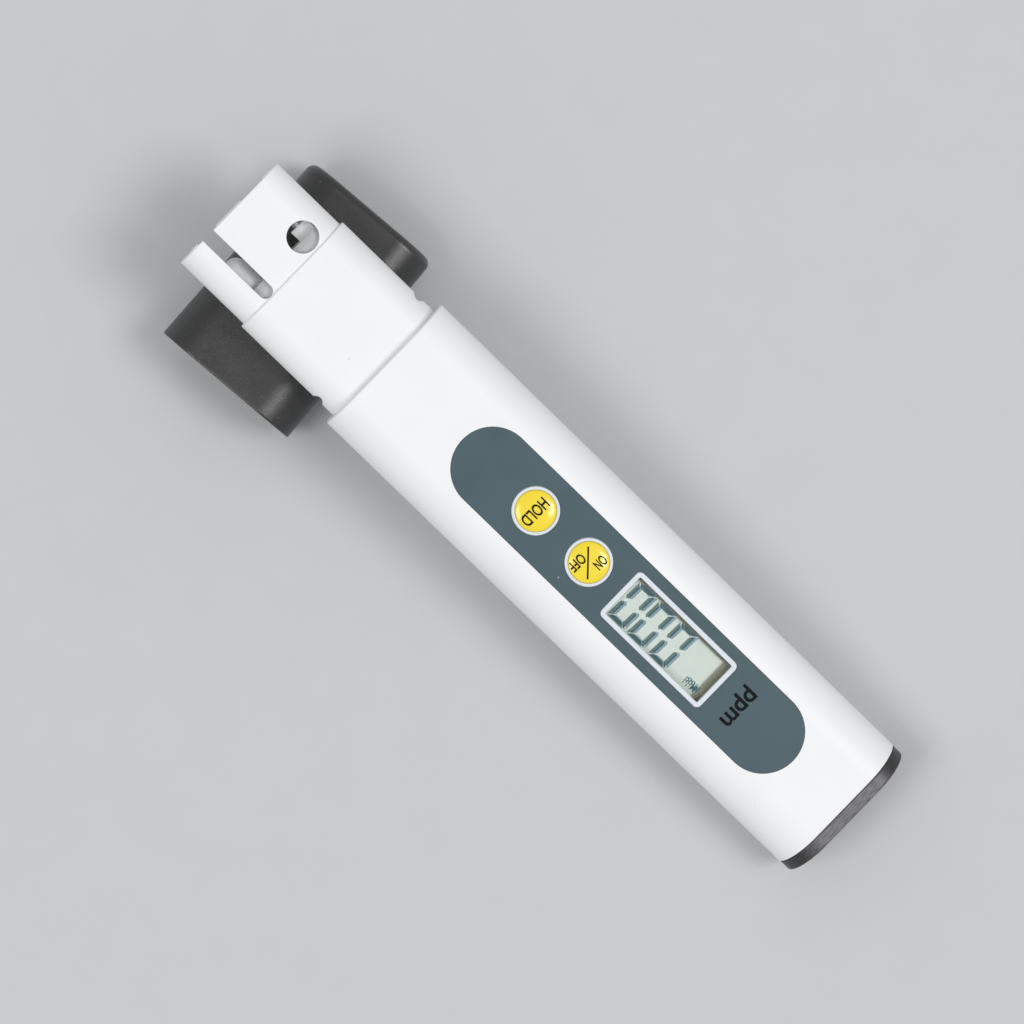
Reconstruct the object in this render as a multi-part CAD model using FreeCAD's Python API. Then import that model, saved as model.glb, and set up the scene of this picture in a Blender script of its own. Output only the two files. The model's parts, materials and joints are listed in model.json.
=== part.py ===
import FreeCAD, Part

import math
import os

from FreeCAD import Placement, Rotation, Vector

# A pen-shaped total dissolved solids meter with its protective cap taken off.
# All sizes are in millimetres. The meter is modelled level in its own frame:
# X runs along it, 0 at the shoulder where the cap would stop, the probe towards -X
# and the battery end towards +X, Y across it, Z up out of the face with the display.
# The last step lays the cap on the floor and leans the meter on it.

# Case: a tube whose section is two flats joined by half circles
body_length = 111.7
body_width = 28.6
body_thickness = 15.0
body_wall = 1.6
shoulder_chamfer = 0.3
case_end_chamfer = 0.4

# Clearances
fit_gap = 0.1
slide_gap = 0.15
seat_gap = 0.3

# Probe head: the neck that carries the cap, and the slotted shroud in front of it
neck_length = 22.2
neck_spigot = 8.0
neck_chamfer = 0.25
shroud_length = 15.2
shroud_step = 0.6
shroud_wall = 1.2
shroud_chamfer = 0.25
detent_from_shoulder = 3.7
detent_radius = 1.2
detent_depth = 0.7

# Openings of the shroud
front_slot_y = -5.3
front_slot_width = 2.6
sight_hole_y = 5.9
sight_hole_from_step = 3.3
sight_hole_diameter = 5.7
rear_slot_left_y = -5.4
rear_slot_left_width = 4.5
rear_slot_right_y = 5.65
rear_slot_right_width = 5.4

# Core: the block that closes the neck and holds the sensors
core_face_from_step = 2.95
core_flange = 1.2
electrode_boss = 3.5
electrode_boss_length = 2.15
electrode_pitch = 6.8
electrode_diameter = 1.75
electrode_reach = 8.0
electrode_tail = 3.5
electrode_chamfer = 0.5
finger_y = -6.3
finger_diameter = 4.5
finger_reach = 6.65
finger_bore = 2.6
bead_diameter = 1.8
bead_length = 2.6
bead_chamfer = 0.5
lead_diameter = 0.4
lead_pitch = 1.0
seal_width = 1.8
seal_depth = 0.9
seal_from_step = 9.0

# Label recess and the raised rims that stand in its cut-outs
label_length = 80.7
label_width = 14.6
label_thickness = 0.3
label_margin = 0.35
label_tail = 19.3
recess_depth = 0.35
rim_height = 0.2
rim_chamfer = 0.12

# Buttons
button_diameter = 7.1
button_edge_height = 0.1
button_crown = 0.45
button_travel = 0.4
button_ring = 0.55
button_flange_diameter = 9.4
button_flange_thickness = 0.7
button_pitch = 12.9
power_to_window = 8.25

# Display
window_length = 22.5
window_width = 8.8
window_corner = 0.6
display_rim = 0.85
display_rim_corner = 1.3
lens_ledge = 0.8
lens_thickness = 0.65
glass_margin = 1.2
glass_front = 1.1
glass_rear = 1.0
glass_contact_ledge = 1.8
holder_wall = 1.2
strip_width = 1.2

# Circuit board and what is soldered on it
board_thickness = 1.0
board_edge_gap = 0.2
rail_height = 0.9
rail_overlap = 1.0
switch_side = 6.0
switch_height = 3.5
plunger_diameter = 3.5
chip_diameter = 9.0
chip_height = 1.2
chip_slope = 1.1
trimmer_side = 3.6
trimmer_height = 1.6
trimmer_screw_diameter = 2.2
trimmer_screw_depth = 0.9
trimmer_slot = 0.5
trimmer_to_hold = 8.0
calibration_hole_diameter = 3.2

# Battery drawer
cell_diameter = 11.6
cell_height = 5.4
cell_gap = 0.3
cell_rim_height = 1.0
cell_chamfer = 0.6
tray_wall = 1.1
tray_floor = 1.0
link_thickness = 0.2
link_width = 4.0
contact_bay = 2.95
contact_thickness = 0.3
contact_width = 2.4
contact_foot = 1.6
contact_spread = 6.4
contact_lift = 0.6
runner_width = 1.2
runner_spread = 8.0
end_plate = 2.25
end_inset = 0.1
end_round = 0.5
skirt_depth = 6.5
skirt_wall = 1.2

# Protective cap
cap_length = 40.0
cap_draft = 0.55
cap_end_round = 1.6
cap_mouth_chamfer = 0.25
cap_tip_gap = 0.4
cap_bump_height = 0.5

# How the set lies on the floor: the cap crosswise under the neck
cap_yaw = 3.9
cap_to_shoulder = 3.6
cap_centre_offset = -2.2

# Derived sizes of the tube and of what plugs into it
bore_width = body_width - 2 * body_wall
bore_thickness = body_thickness - 2 * body_wall
bore_top = bore_thickness / 2
neck_width = bore_width - 2 * fit_gap
neck_thickness = bore_thickness - 2 * fit_gap
shroud_width = neck_width - 2 * shroud_step
shroud_thickness = neck_thickness - 2 * shroud_step
chamber_width = shroud_width - 2 * shroud_wall
chamber_thickness = shroud_thickness - 2 * shroud_wall
core_width = chamber_width - 2 * fit_gap
core_thickness = chamber_thickness - 2 * fit_gap
step_x = -neck_length
tip_x = step_x - shroud_length
core_face_x = step_x - core_face_from_step
boss_face_x = core_face_x - electrode_boss_length
core_rear_x = neck_spigot + core_flange

# Derived heights inside the case
board_top = -electrode_diameter / 2 - fit_gap
board_bottom = board_top - board_thickness
glass_top = bore_top - fit_gap
glass_bottom = glass_top - glass_front - glass_rear
label_floor = body_thickness / 2 - recess_depth
label_top = label_floor + label_thickness
rim_top = body_thickness / 2 + rim_height

# Derived places along the case, counted back from the battery end
tray_length = 2 * cell_diameter + cell_gap * 3 + 2 * tray_wall
tray_x = body_length - tray_length
holder_length = window_length + 2 * (glass_margin + fit_gap + holder_wall)
holder_width = window_width + 2 * (glass_margin + fit_gap + holder_wall)
display_x = tray_x - contact_bay - holder_length / 2
power_x = display_x - window_length / 2 - power_to_window
hold_x = power_x - button_pitch
label_x = display_x + window_length / 2 + label_tail - label_length / 2
trimmer_x = hold_x - trimmer_to_hold
board_start = core_rear_x + 0.5
board_end = tray_x - 1.2

# Derived sizes of the battery drawer
cell_bottom = -cell_height / 2
cell_top = cell_height / 2
tray_bottom = cell_bottom - link_thickness - tray_floor
tray_top = cell_bottom + cell_height * 0.8
tray_width = cell_diameter + 2 * cell_gap + 2 * tray_wall
drawer_end_x = body_length + fit_gap + end_plate


def section(x, width, thickness):
    """Closed outline of the tube's section in the plane X = x."""
    radius = thickness / 2
    flat = width / 2 - radius
    corners = [Vector(x, -flat, radius), Vector(x, flat, radius), Vector(x, flat, -radius), Vector(x, -flat, -radius)]
    right = Part.Arc(corners[1], Vector(x, flat + radius, 0), corners[2])
    left = Part.Arc(corners[3], Vector(x, -flat - radius, 0), corners[0])
    sides = [Part.LineSegment(corners[0], corners[1]), right, Part.LineSegment(corners[2], corners[3]), left]
    return Part.Wire([side.toShape() for side in sides])


def bar(x_start, x_end, width, thickness):
    """Straight bar with the tube's section."""
    return Part.Face(section(x_start, width, thickness)).extrude(Vector(x_end - x_start, 0, 0))


def tapered_bar(x_start, x_end, width, thickness, draft):
    """Bar with the tube's section at x_end, drawn in by the draft all round at x_start."""
    flat = (width - thickness) / 2
    large = thickness / 2
    small = large - draft
    outline = [Vector(x_start, -flat, -small), Vector(x_start, -flat, small),
               Vector(x_end, -flat, large), Vector(x_end, -flat, -large), Vector(x_start, -flat, -small)]
    middle = Part.Face(Part.makePolygon(outline)).extrude(Vector(0, 2 * flat, 0))
    sides = [Part.makeCone(small, large, x_end - x_start, Vector(x_start, y, 0), Vector(1, 0, 0))
             for y in (-flat, flat)]
    return middle.multiFuse(sides).removeSplitter()


def box(x_start, x_end, y_start, y_end, z_start, z_end):
    """Box given by its two limits on each axis."""
    corner = Vector(x_start, y_start, z_start)
    return Part.makeBox(x_end - x_start, y_end - y_start, z_end - z_start, corner)


def post(x, y, diameter, z_start, z_end):
    """Upright cylinder."""
    return Part.makeCylinder(diameter / 2, z_end - z_start, Vector(x, y, z_start))


def rod(x_start, x_end, y, z, diameter):
    """Cylinder lying along X."""
    return Part.makeCylinder(diameter / 2, x_end - x_start, Vector(x_start, y, z), Vector(1, 0, 0))


def slab(x, y, length, width, corner, z_start, z_end):
    """Plate with rounded corners, seen from above."""
    plate = box(x - length / 2, x + length / 2, y - width / 2, y + width / 2, z_start, z_end)
    upright = [edge for edge in plate.Edges if edge.BoundBox.ZLength > (z_end - z_start) / 2]
    return plate.makeFillet(corner, upright)


def capsule_slab(x, length, width, z_start, z_end):
    """Plate with half-round ends, seen from above."""
    half = length / 2 - width / 2
    middle = box(x - half, x + half, -width / 2, width / 2, z_start, z_end)
    ends = [post(x - half, 0, width, z_start, z_end), post(x + half, 0, width, z_start, z_end)]
    return middle.multiFuse(ends).removeSplitter()


def edges_at(shape, x):
    """Edges that lie in the plane X = x."""
    return [edge for edge in shape.Edges if abs(edge.BoundBox.XMin - x) < 0.01 and abs(edge.BoundBox.XMax - x) < 0.01]


def bore_half_width(z):
    """Half of the bore's width at height z above its middle."""
    radius = bore_thickness / 2
    return bore_width / 2 - radius + math.sqrt(radius ** 2 - z ** 2)


def body_shell():
    outer = bar(0, body_length, body_width, body_thickness)
    outer = outer.makeChamfer(shoulder_chamfer, edges_at(outer, 0))
    outer = outer.makeChamfer(case_end_chamfer, edges_at(outer, body_length))
    recess_length = label_length + 2 * label_margin
    recess_width = label_width + 2 * label_margin
    outer = outer.cut(capsule_slab(label_x, recess_length, recess_width, label_floor, rim_top))
    outer = outer.fuse(rims())
    shell = outer.cut(bar(-1, body_length + 1, bore_width, bore_thickness))
    shell = shell.multiFuse(board_rails() + tray_runners()).removeSplitter()
    return shell.cut(Part.makeCompound(shell_openings()))


def rims():
    """Raised rims round the display and the two buttons, moulded with the case."""
    base = label_floor - 0.2
    frame = slab(display_x, 0, window_length + 2 * display_rim, window_width + 2 * display_rim,
                 display_rim_corner, base, rim_top)
    top_edges = [edge for edge in frame.Edges if edge.BoundBox.ZMin > rim_top - 0.01]
    pieces = [frame.makeChamfer(rim_chamfer, top_edges)]
    for x in (hold_x, power_x):
        ring = post(x, 0, button_diameter + 2 * (slide_gap + button_ring), base, rim_top)
        top_edges = [edge for edge in ring.Edges if edge.BoundBox.ZMin > rim_top - 0.01]
        pieces.append(ring.makeChamfer(rim_chamfer, top_edges))
    return Part.makeCompound(pieces)


def shell_openings():
    """Window with a ledge for its lens, button holes and the hole over the trimmer."""
    top = rim_top + 1
    window = slab(display_x, 0, window_length, window_width, window_corner, 0, top)
    ledge_top = bore_top + lens_thickness + fit_gap
    ledge = slab(display_x, 0, window_length + 2 * lens_ledge, window_width + 2 * lens_ledge,
                 window_corner + lens_ledge, 0, ledge_top)
    holes = [post(x, 0, button_diameter + 2 * slide_gap, 0, top) for x in (hold_x, power_x)]
    trimmer_access = post(trimmer_x, 0, calibration_hole_diameter, -body_thickness, -bore_top / 2)
    return [window, ledge, trimmer_access] + holes


def board_rails():
    """Ribs along both side walls, above and below the edges of the circuit board."""
    rails = []
    wall_side = bar(board_start, board_end, bore_width + body_wall, bore_thickness + body_wall)
    reach = bore_half_width(board_bottom) - rail_overlap
    for side in (-1, 1):
        y_limits = sorted((side * reach, side * body_width / 2))
        for z_start in (board_top + fit_gap, board_bottom - fit_gap - rail_height):
            rib = box(board_start, board_end, *y_limits, z_start, z_start + rail_height)
            rails.append(rib.common(wall_side))
    return rails


def tray_runners():
    """Two ribs on the rear wall that the battery tray slides on."""
    runners = []
    for side in (-1, 1):
        y = side * runner_spread / 2
        end = body_length - skirt_depth - fit_gap
        runners.append(box(tray_x, end, y - runner_width / 2, y + runner_width / 2,
                           -bore_top - body_wall / 2, tray_bottom - fit_gap))
    return runners


def probe_head():
    """Neck and shroud in one moulding, slotted so that water reaches the electrodes."""
    shroud = bar(tip_x, step_x, shroud_width, shroud_thickness)
    shroud = shroud.makeChamfer(shroud_chamfer, edges_at(shroud, tip_x))
    neck = bar(step_x, neck_spigot, neck_width, neck_thickness)
    neck = neck.makeChamfer(neck_chamfer, edges_at(neck, step_x))
    head = neck.fuse(shroud).cut(bar(tip_x - 1, neck_spigot + 1, chamber_width, chamber_thickness))
    for side in (-1, 1):
        notch_y = side * (neck_width / 2 + detent_radius - detent_depth)
        notch = post(-detent_from_shoulder, notch_y, 2 * detent_radius, -body_thickness, body_thickness)
        head = head.cut(notch)
    return head.cut(Part.makeCompound(shroud_openings()))


def shroud_openings():
    """Front slot, sight hole and the two wider slots of the rear wall."""
    front = open_slot(front_slot_y, front_slot_width, 0, body_thickness)
    sight = post(step_x - sight_hole_from_step, sight_hole_y, sight_hole_diameter, 0, body_thickness)
    rear_left = open_slot(rear_slot_left_y, rear_slot_left_width, -body_thickness, 0)
    rear_right = open_slot(rear_slot_right_y, rear_slot_right_width, -body_thickness, 0)
    return [front, sight, rear_left, rear_right]


def open_slot(y, width, z_start, z_end):
    """Slot from the tip of the shroud back to the neck, with a round end."""
    end = step_x - width / 2 + fit_gap
    straight = box(tip_x - 1, end, y - width / 2, y + width / 2, z_start, z_end)
    return straight.fuse(post(end, y, width, z_start, z_end))


def probe_core():
    """Block in the neck with the electrode bosses and the hollow finger of the temperature sensor."""
    core = bar(core_face_x, core_rear_x, core_width, core_thickness)
    flange = bar(neck_spigot, core_rear_x, neck_width, neck_thickness)
    parts = [flange, sensor_finger()]
    for y in electrode_rows():
        parts.append(box(boss_face_x, core_face_x + 1, y - electrode_boss / 2, y + electrode_boss / 2,
                         -electrode_boss / 2, electrode_boss / 2))
    core = core.multiFuse(parts).removeSplitter()
    holes = [rod(tip_x, core_rear_x + 1, y, 0, electrode_diameter + fit_gap) for y in electrode_rows()]
    holes.append(rod(finger_end() + finger_diameter / 2, core_rear_x + 1, finger_y, 0, finger_bore))
    return core.cut(Part.makeCompound(holes)).cut(seal_groove())


def electrode_rows():
    """Distances of the two electrodes from the centre line."""
    return (0, electrode_pitch)


def finger_end():
    return core_face_x - finger_reach


def sensor_finger():
    """Round-nosed finger that the temperature sensor sits in."""
    radius = finger_diameter / 2
    nose_x = finger_end() + radius
    shaft = rod(nose_x, core_face_x + 1, finger_y, 0, finger_diameter)
    return shaft.fuse(Part.makeSphere(radius, Vector(nose_x, finger_y, 0)))


def seal_groove():
    x = step_x + seal_from_step
    collar = bar(x, x + seal_width, chamber_width + 1, chamber_thickness + 1)
    return collar.cut(bar(x, x + seal_width, core_width - 2 * seal_depth, core_thickness - 2 * seal_depth))


def probe_seal():
    """Rubber ring in the groove of the core."""
    x = step_x + seal_from_step + fit_gap
    length = seal_width - 2 * fit_gap
    ring = bar(x, x + length, chamber_width - fit_gap, chamber_thickness - fit_gap)
    inner = (core_width - 2 * seal_depth + fit_gap, core_thickness - 2 * seal_depth + fit_gap)
    return ring.cut(bar(x - 1, x + length + 1, *inner))


def electrode_pins():
    """Two metal pins that reach from the chamber to the circuit board."""
    start = boss_face_x - electrode_reach
    pins = []
    for y in electrode_rows():
        pin = rod(start, board_start + electrode_tail, y, 0, electrode_diameter)
        pins.append(pin.makeChamfer(electrode_chamfer, edges_at(pin, start)))
    return Part.makeCompound(pins)


def thermistor():
    """Glass bead at the end of two leads that are soldered into the board."""
    bead_x = finger_end() + finger_diameter / 2 + fit_gap
    bead = rod(bead_x, bead_x + bead_length, finger_y, 0, bead_diameter)
    bead = bead.makeChamfer(bead_chamfer, edges_at(bead, bead_x))
    leads = []
    drop_x = board_start + electrode_tail / 2
    for side in (-1, 1):
        y = finger_y + side * lead_pitch / 2
        run = rod(bead_x + bead_length / 2, drop_x, y, 0, lead_diameter)
        drop = post(drop_x, y, lead_diameter, board_top + fit_gap, 0)
        leads += [run, drop, Part.makeSphere(lead_diameter / 2, Vector(drop_x, y, 0))]
    return bead.multiFuse(leads).removeSplitter()


def label():
    """Thin film with cut-outs for the window and the two buttons."""
    film = capsule_slab(label_x, label_length, label_width, label_floor, label_top)
    rim_gap = fit_gap
    cutouts = [slab(display_x, 0, window_length + 2 * (display_rim + rim_gap),
                    window_width + 2 * (display_rim + rim_gap), display_rim_corner + rim_gap,
                    0, body_thickness)]
    for x in (hold_x, power_x):
        diameter = button_diameter + 2 * (slide_gap + button_ring + rim_gap)
        cutouts.append(post(x, 0, diameter, 0, body_thickness))
    return film.cut(Part.makeCompound(cutouts))


def button(x):
    """Domed cap with a flange under the wall that keeps it in."""
    flange_top = bore_top - fit_gap
    edge_top = rim_top + button_edge_height
    stem = post(x, 0, button_diameter, flange_top - button_flange_thickness, edge_top)
    radius = button_diameter / 2
    sphere_radius = (radius ** 2 + button_crown ** 2) / (2 * button_crown)
    dome = Part.makeSphere(sphere_radius, Vector(x, 0, edge_top + button_crown - sphere_radius))
    crown = dome.common(post(x, 0, button_diameter, edge_top, edge_top + button_crown + 1))
    flange = post(x, 0, button_flange_diameter, flange_top - button_flange_thickness, flange_top)
    return stem.multiFuse([crown, flange]).removeSplitter()


def switch_housing(x):
    """Square housing of a push switch, open in the middle for its plunger."""
    half = switch_side / 2
    housing = box(x - half, x + half, -half, half, board_top, board_top + switch_height)
    return housing.cut(post(x, 0, plunger_diameter + 2 * fit_gap, plunger_bottom() - button_travel - 0.2,
                            board_top + switch_height + 1))


def plunger_bottom():
    return board_top + switch_height / 2


def switch_plunger(x):
    """Round plunger between the switch and the underside of its button."""
    return post(x, 0, plunger_diameter, plunger_bottom(), bore_top - fit_gap - button_flange_thickness)


def display_window():
    """Clear lens that lies in the ledge under the window."""
    gap = fit_gap
    return slab(display_x, 0, window_length + 2 * (lens_ledge - gap), window_width + 2 * (lens_ledge - gap),
                window_corner + lens_ledge - gap, bore_top, bore_top + lens_thickness)


def display_glass():
    """Liquid crystal cell: a full front plate and a shorter rear plate that leaves the contacts bare."""
    length = window_length + 2 * glass_margin
    width = window_width + 2 * glass_margin
    front = box(display_x - length / 2, display_x + length / 2, -width / 2, width / 2,
                glass_top - glass_front, glass_top)
    rear = box(display_x - length / 2, display_x + length / 2, -width / 2 + glass_contact_ledge, width / 2,
               glass_bottom, glass_top - glass_front)
    return front.fuse(rear).removeSplitter()


def display_holder():
    """Frame on the circuit board that holds the glass and the contact strip."""
    half_length = holder_length / 2
    half_width = holder_width / 2
    frame = box(display_x - half_length, display_x + half_length, -half_width, half_width,
                board_top, glass_top)
    seat_length = window_length / 2 + glass_margin + fit_gap
    seat_width = window_width / 2 + glass_margin + fit_gap
    seat = box(display_x - seat_length, display_x + seat_length, -seat_width, seat_width,
               glass_bottom - fit_gap, glass_top + 1)
    slot = box(display_x - window_length / 2, display_x + window_length / 2,
               -seat_width, -seat_width + strip_width + 2 * fit_gap, board_top - 1, glass_top)
    hollow = box(display_x - window_length / 2, display_x + window_length / 2,
                 -seat_width + strip_width + 2 * fit_gap + holder_wall, seat_width - holder_wall,
                 board_top - 1, glass_bottom)
    return frame.cut(Part.makeCompound([seat, slot, hollow]))


def contact_strip():
    """Rubber strip that joins the contacts of the glass to the board."""
    start = -window_width / 2 - glass_margin
    return box(display_x - window_length / 2 + fit_gap, display_x + window_length / 2 - fit_gap,
               start, start + strip_width, board_top, glass_top - glass_front)


def circuit_board():
    """Board that slides into the side rails, with holes for the two sensor leads."""
    half_width = bore_half_width(board_bottom) - board_edge_gap
    board = slab((board_start + board_end) / 2, 0, board_end - board_start, 2 * half_width, 1.0,
                 board_bottom, board_top)
    holes = []
    for side in (-1, 1):
        holes.append(post(board_start + electrode_tail / 2, finger_y + side * lead_pitch / 2,
                          lead_diameter + fit_gap, board_bottom - 1, board_top + 1))
    return board.cut(Part.makeCompound(holes))


def controller_chip():
    """Round pad of resin over the bare chip, under the display."""
    radius = chip_diameter / 2
    return Part.makeCone(radius - chip_slope, radius, chip_height, Vector(display_x, 0, board_bottom - chip_height))


def trimmer_body():
    """Calibration trimmer under the board, with a cup for its screw."""
    half = trimmer_side / 2
    bottom = board_bottom - trimmer_height
    housing = box(trimmer_x - half, trimmer_x + half, -half, half, bottom, board_bottom)
    cup = post(trimmer_x, 0, trimmer_screw_diameter + fit_gap, bottom - 1, bottom + trimmer_screw_depth + fit_gap)
    return housing.cut(cup)


def trimmer_screw():
    """Slotted screw of the trimmer, reached through the hole in the rear wall."""
    bottom = board_bottom - trimmer_height
    screw = post(trimmer_x, 0, trimmer_screw_diameter, bottom, bottom + trimmer_screw_depth)
    half = trimmer_screw_diameter / 2
    slot = box(trimmer_x - half, trimmer_x + half, -trimmer_slot / 2, trimmer_slot / 2,
               bottom - 1, bottom + trimmer_slot)
    return screw.cut(slot)


def battery_contacts():
    """Two leaf springs that rise from the board and press on the tops of the cells."""
    springs = []
    cells = cell_centres()
    for side, cell_x in ((-1, cells[0]), (1, cells[1])):
        y = side * contact_spread / 2
        leaf_z = cell_top + contact_lift
        foot = box(board_end - contact_foot, board_end, y - contact_width / 2, y + contact_width / 2,
                   board_top, board_top + contact_thickness)
        riser_x = board_end - contact_thickness
        riser = box(riser_x, board_end, y - contact_width / 2, y + contact_width / 2,
                    board_top, leaf_z + contact_thickness)
        leaf = box(riser_x, cell_x + contact_width, y - contact_width / 2, y + contact_width / 2,
                   leaf_z, leaf_z + contact_thickness)
        dimple = post(cell_x, y, contact_width * 0.6, cell_top + fit_gap, leaf_z)
        springs.append(foot.multiFuse([riser, leaf, dimple]).removeSplitter())
    return Part.makeCompound(springs)


def cell_centres():
    """Places of the two cells along the tray."""
    first = tray_x + tray_wall + cell_gap + cell_diameter / 2
    return (first, first + cell_diameter + cell_gap)


def button_cell(x):
    """Button cell with its narrower rim at the top."""
    can = post(x, 0, cell_diameter, cell_bottom, cell_top - cell_rim_height)
    rim = post(x, 0, cell_diameter - 2 * cell_rim_height, cell_top - cell_rim_height, cell_top)
    cell = can.fuse(rim)
    edges = [edge for edge in cell.Edges if abs(edge.BoundBox.ZMin - (cell_top - cell_rim_height)) < 0.01]
    outer = [edge for edge in edges if edge.BoundBox.XLength > cell_diameter - 0.1]
    return cell.makeChamfer(cell_chamfer, outer)


def button_cells():
    return Part.makeCompound([button_cell(x) for x in cell_centres()])


def cell_link():
    """Plate on the tray's floor that joins the undersides of the cells."""
    first, second = cell_centres()
    return box(first - link_width / 2, second + link_width / 2, -link_width / 2, link_width / 2,
               cell_bottom - link_thickness, cell_bottom)


def battery_tray():
    """Tray with a round pocket for each cell."""
    tray = slab(tray_x + tray_length / 2, 0, tray_length, tray_width, 0.8, tray_bottom, tray_top)
    pocket_floor = cell_bottom - link_thickness
    pockets = [post(x, 0, cell_diameter + 2 * cell_gap, pocket_floor, tray_top + 1) for x in cell_centres()]
    half = link_width / 2 + fit_gap
    first, second = cell_centres()
    channel = box(first, second, -half, half, pocket_floor, cell_bottom + fit_gap)
    return tray.cut(Part.makeCompound(pockets + [channel]))


def battery_cap():
    """Black end of the case, with a skirt that plugs into the tube."""
    plate_x = body_length + fit_gap
    plate = bar(plate_x, drawer_end_x, body_width - 2 * end_inset, body_thickness - 2 * end_inset)
    plate = plate.makeFillet(end_round, edges_at(plate, drawer_end_x))
    outer = (bore_width - 2 * slide_gap, bore_thickness - 2 * slide_gap)
    inner = (outer[0] - 2 * skirt_wall, outer[1] - 2 * skirt_wall)
    skirt = bar(body_length - skirt_depth, plate_x, *outer)
    skirt = skirt.cut(bar(body_length - skirt_depth - 1, body_length, *inner))
    return plate.fuse(skirt).removeSplitter()


def protective_cap():
    """Drafted cap with a stepped hollow that follows the probe head, and two snap bumps."""
    outer = tapered_bar(-cap_length, 0, body_width, body_thickness, cap_draft)
    outer = outer.makeFillet(cap_end_round, edges_at(outer, -cap_length))
    outer = outer.makeChamfer(cap_mouth_chamfer, edges_at(outer, 0))
    neck_room = bar(step_x, 1, neck_width + 2 * slide_gap, neck_thickness + 2 * slide_gap)
    shroud_room = bar(tip_x - cap_tip_gap, step_x + 1,
                      shroud_width + 2 * slide_gap, shroud_thickness + 2 * slide_gap)
    cap = outer.cut(neck_room.fuse(shroud_room))
    room_edge = neck_width / 2 + slide_gap
    for side in (-1, 1):
        bump_y = side * (room_edge + detent_radius - cap_bump_height)
        bump = post(-detent_from_shoulder, bump_y, 2 * detent_radius, -detent_radius, detent_radius)
        wall_side = box(-cap_length, 0, *sorted((side * (room_edge - 1), side * (room_edge + body_wall / 2))),
                        -body_thickness, body_thickness)
        cap = cap.fuse(bump.common(wall_side))
    return cap.removeSplitter()


def cap_thickness_at(distance):
    """Thickness of the cap at a distance from its mouth."""
    return body_thickness - 2 * cap_draft * distance / cap_length


def rest_tilt():
    """Angle in degrees at which the neck leans on the cap with the battery end on the floor.

    The neck's flat underside lies on the round long side of the cap, and the round heel of the
    battery cap stands on the floor, so the two rounding centres fix the angle.
    """
    heel = heel_centre()
    side = cap_side_centre()
    rise = cap_side_radius() - end_round
    return math.degrees(math.asin(rise / heel.distanceToPoint(side)) - math.atan2(side.z - heel.z, heel.x - side.x))


def heel_centre():
    """Centre of the battery cap's rounded lower edge, in the meter's level frame."""
    return Vector(drawer_end_x - end_round, 0, end_inset + end_round - body_thickness / 2)


def cap_side_radius():
    """Radius of the cap's long side where the flat of the neck crosses it."""
    neck_flat = (neck_width - neck_thickness) / 2
    return cap_thickness_at(cap_length / 2 - cap_centre_offset - neck_flat) / 2


def cap_side_centre():
    """Centre of the rounding of the cap's long side, in the meter's level frame."""
    radius = cap_side_radius()
    return Vector(-cap_to_shoulder - radius, 0, -neck_thickness / 2 - seat_gap - radius)


def meter_placement():
    """Leans the level meter back until its heel stands on the floor."""
    lean = Rotation(Vector(0, 1, 0), rest_tilt())
    return Placement(Vector(0, 0, end_round - lean.multVec(heel_centre()).z), lean)


def cap_placement():
    """Lays the cap on its flat side, crosswise under the neck, mouth towards -Y."""
    side = meter_placement().multVec(cap_side_centre())
    side_to_centre = (body_width - body_thickness) / 2
    draft = math.atan2(cap_draft, cap_length)
    level = Placement(Vector(0, 0, 0), Rotation(Vector(0, 1, 0), -math.degrees(draft)))
    to_floor = Placement(Vector(cap_length / 2, 0, 0), Rotation())
    stand = Placement(Vector(0, 0, cap_thickness_at(cap_length / 2) / 2 * math.cos(draft)), Rotation())
    turn = Rotation(Vector(0, 0, 1), cap_yaw - 90)
    centre = Vector(side.x - side_to_centre, cap_centre_offset, 0)
    return Placement(centre, turn).multiply(stand).multiply(level).multiply(to_floor)


def build_meter():
    """Every piece of the meter in its own level frame."""
    return {
        "body_shell": body_shell(),
        "probe_head": probe_head(),
        "probe_core": probe_core(),
        "probe_seal": probe_seal(),
        "electrode_pins": electrode_pins(),
        "thermistor": thermistor(),
        "keypad_label": label(),
        "hold_button": button(hold_x),
        "power_button": button(power_x),
        "hold_switch_plunger": switch_plunger(hold_x),
        "power_switch_plunger": switch_plunger(power_x),
        "hold_switch_housing": switch_housing(hold_x),
        "power_switch_housing": switch_housing(power_x),
        "display_window": display_window(),
        "display_glass": display_glass(),
        "display_holder": display_holder(),
        "contact_strip": contact_strip(),
        "circuit_board": circuit_board(),
        "controller_chip": controller_chip(),
        "calibration_trimmer": trimmer_body(),
        "calibration_screw": trimmer_screw(),
        "battery_contacts": battery_contacts(),
        "battery_cap": battery_cap(),
        "battery_tray": battery_tray(),
        "button_cells": button_cells(),
        "cell_link": cell_link(),
    }


def main():
    """Places the pieces, puts the origin under the middle of the whole set and writes the files."""
    pieces = build_meter()
    for shape in pieces.values():
        shape.Placement = meter_placement().multiply(shape.Placement)
    pieces["protective_cap"] = protective_cap()
    pieces["protective_cap"].Placement = cap_placement()
    bounds = Part.makeCompound(list(pieces.values())).optimalBoundingBox(False)
    origin = Vector(bounds.Center.x, bounds.Center.y, 0)
    os.makedirs("parts", exist_ok=True)
    for name, shape in pieces.items():
        shape.translate(-origin)
        shape.exportStep(os.path.join("parts", name + ".step"))


main()
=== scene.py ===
import json
import math

import bmesh
import bpy
from bpy.props import FloatProperty, FloatVectorProperty, IntProperty, PointerProperty
from mathutils import Matrix, Vector


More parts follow.
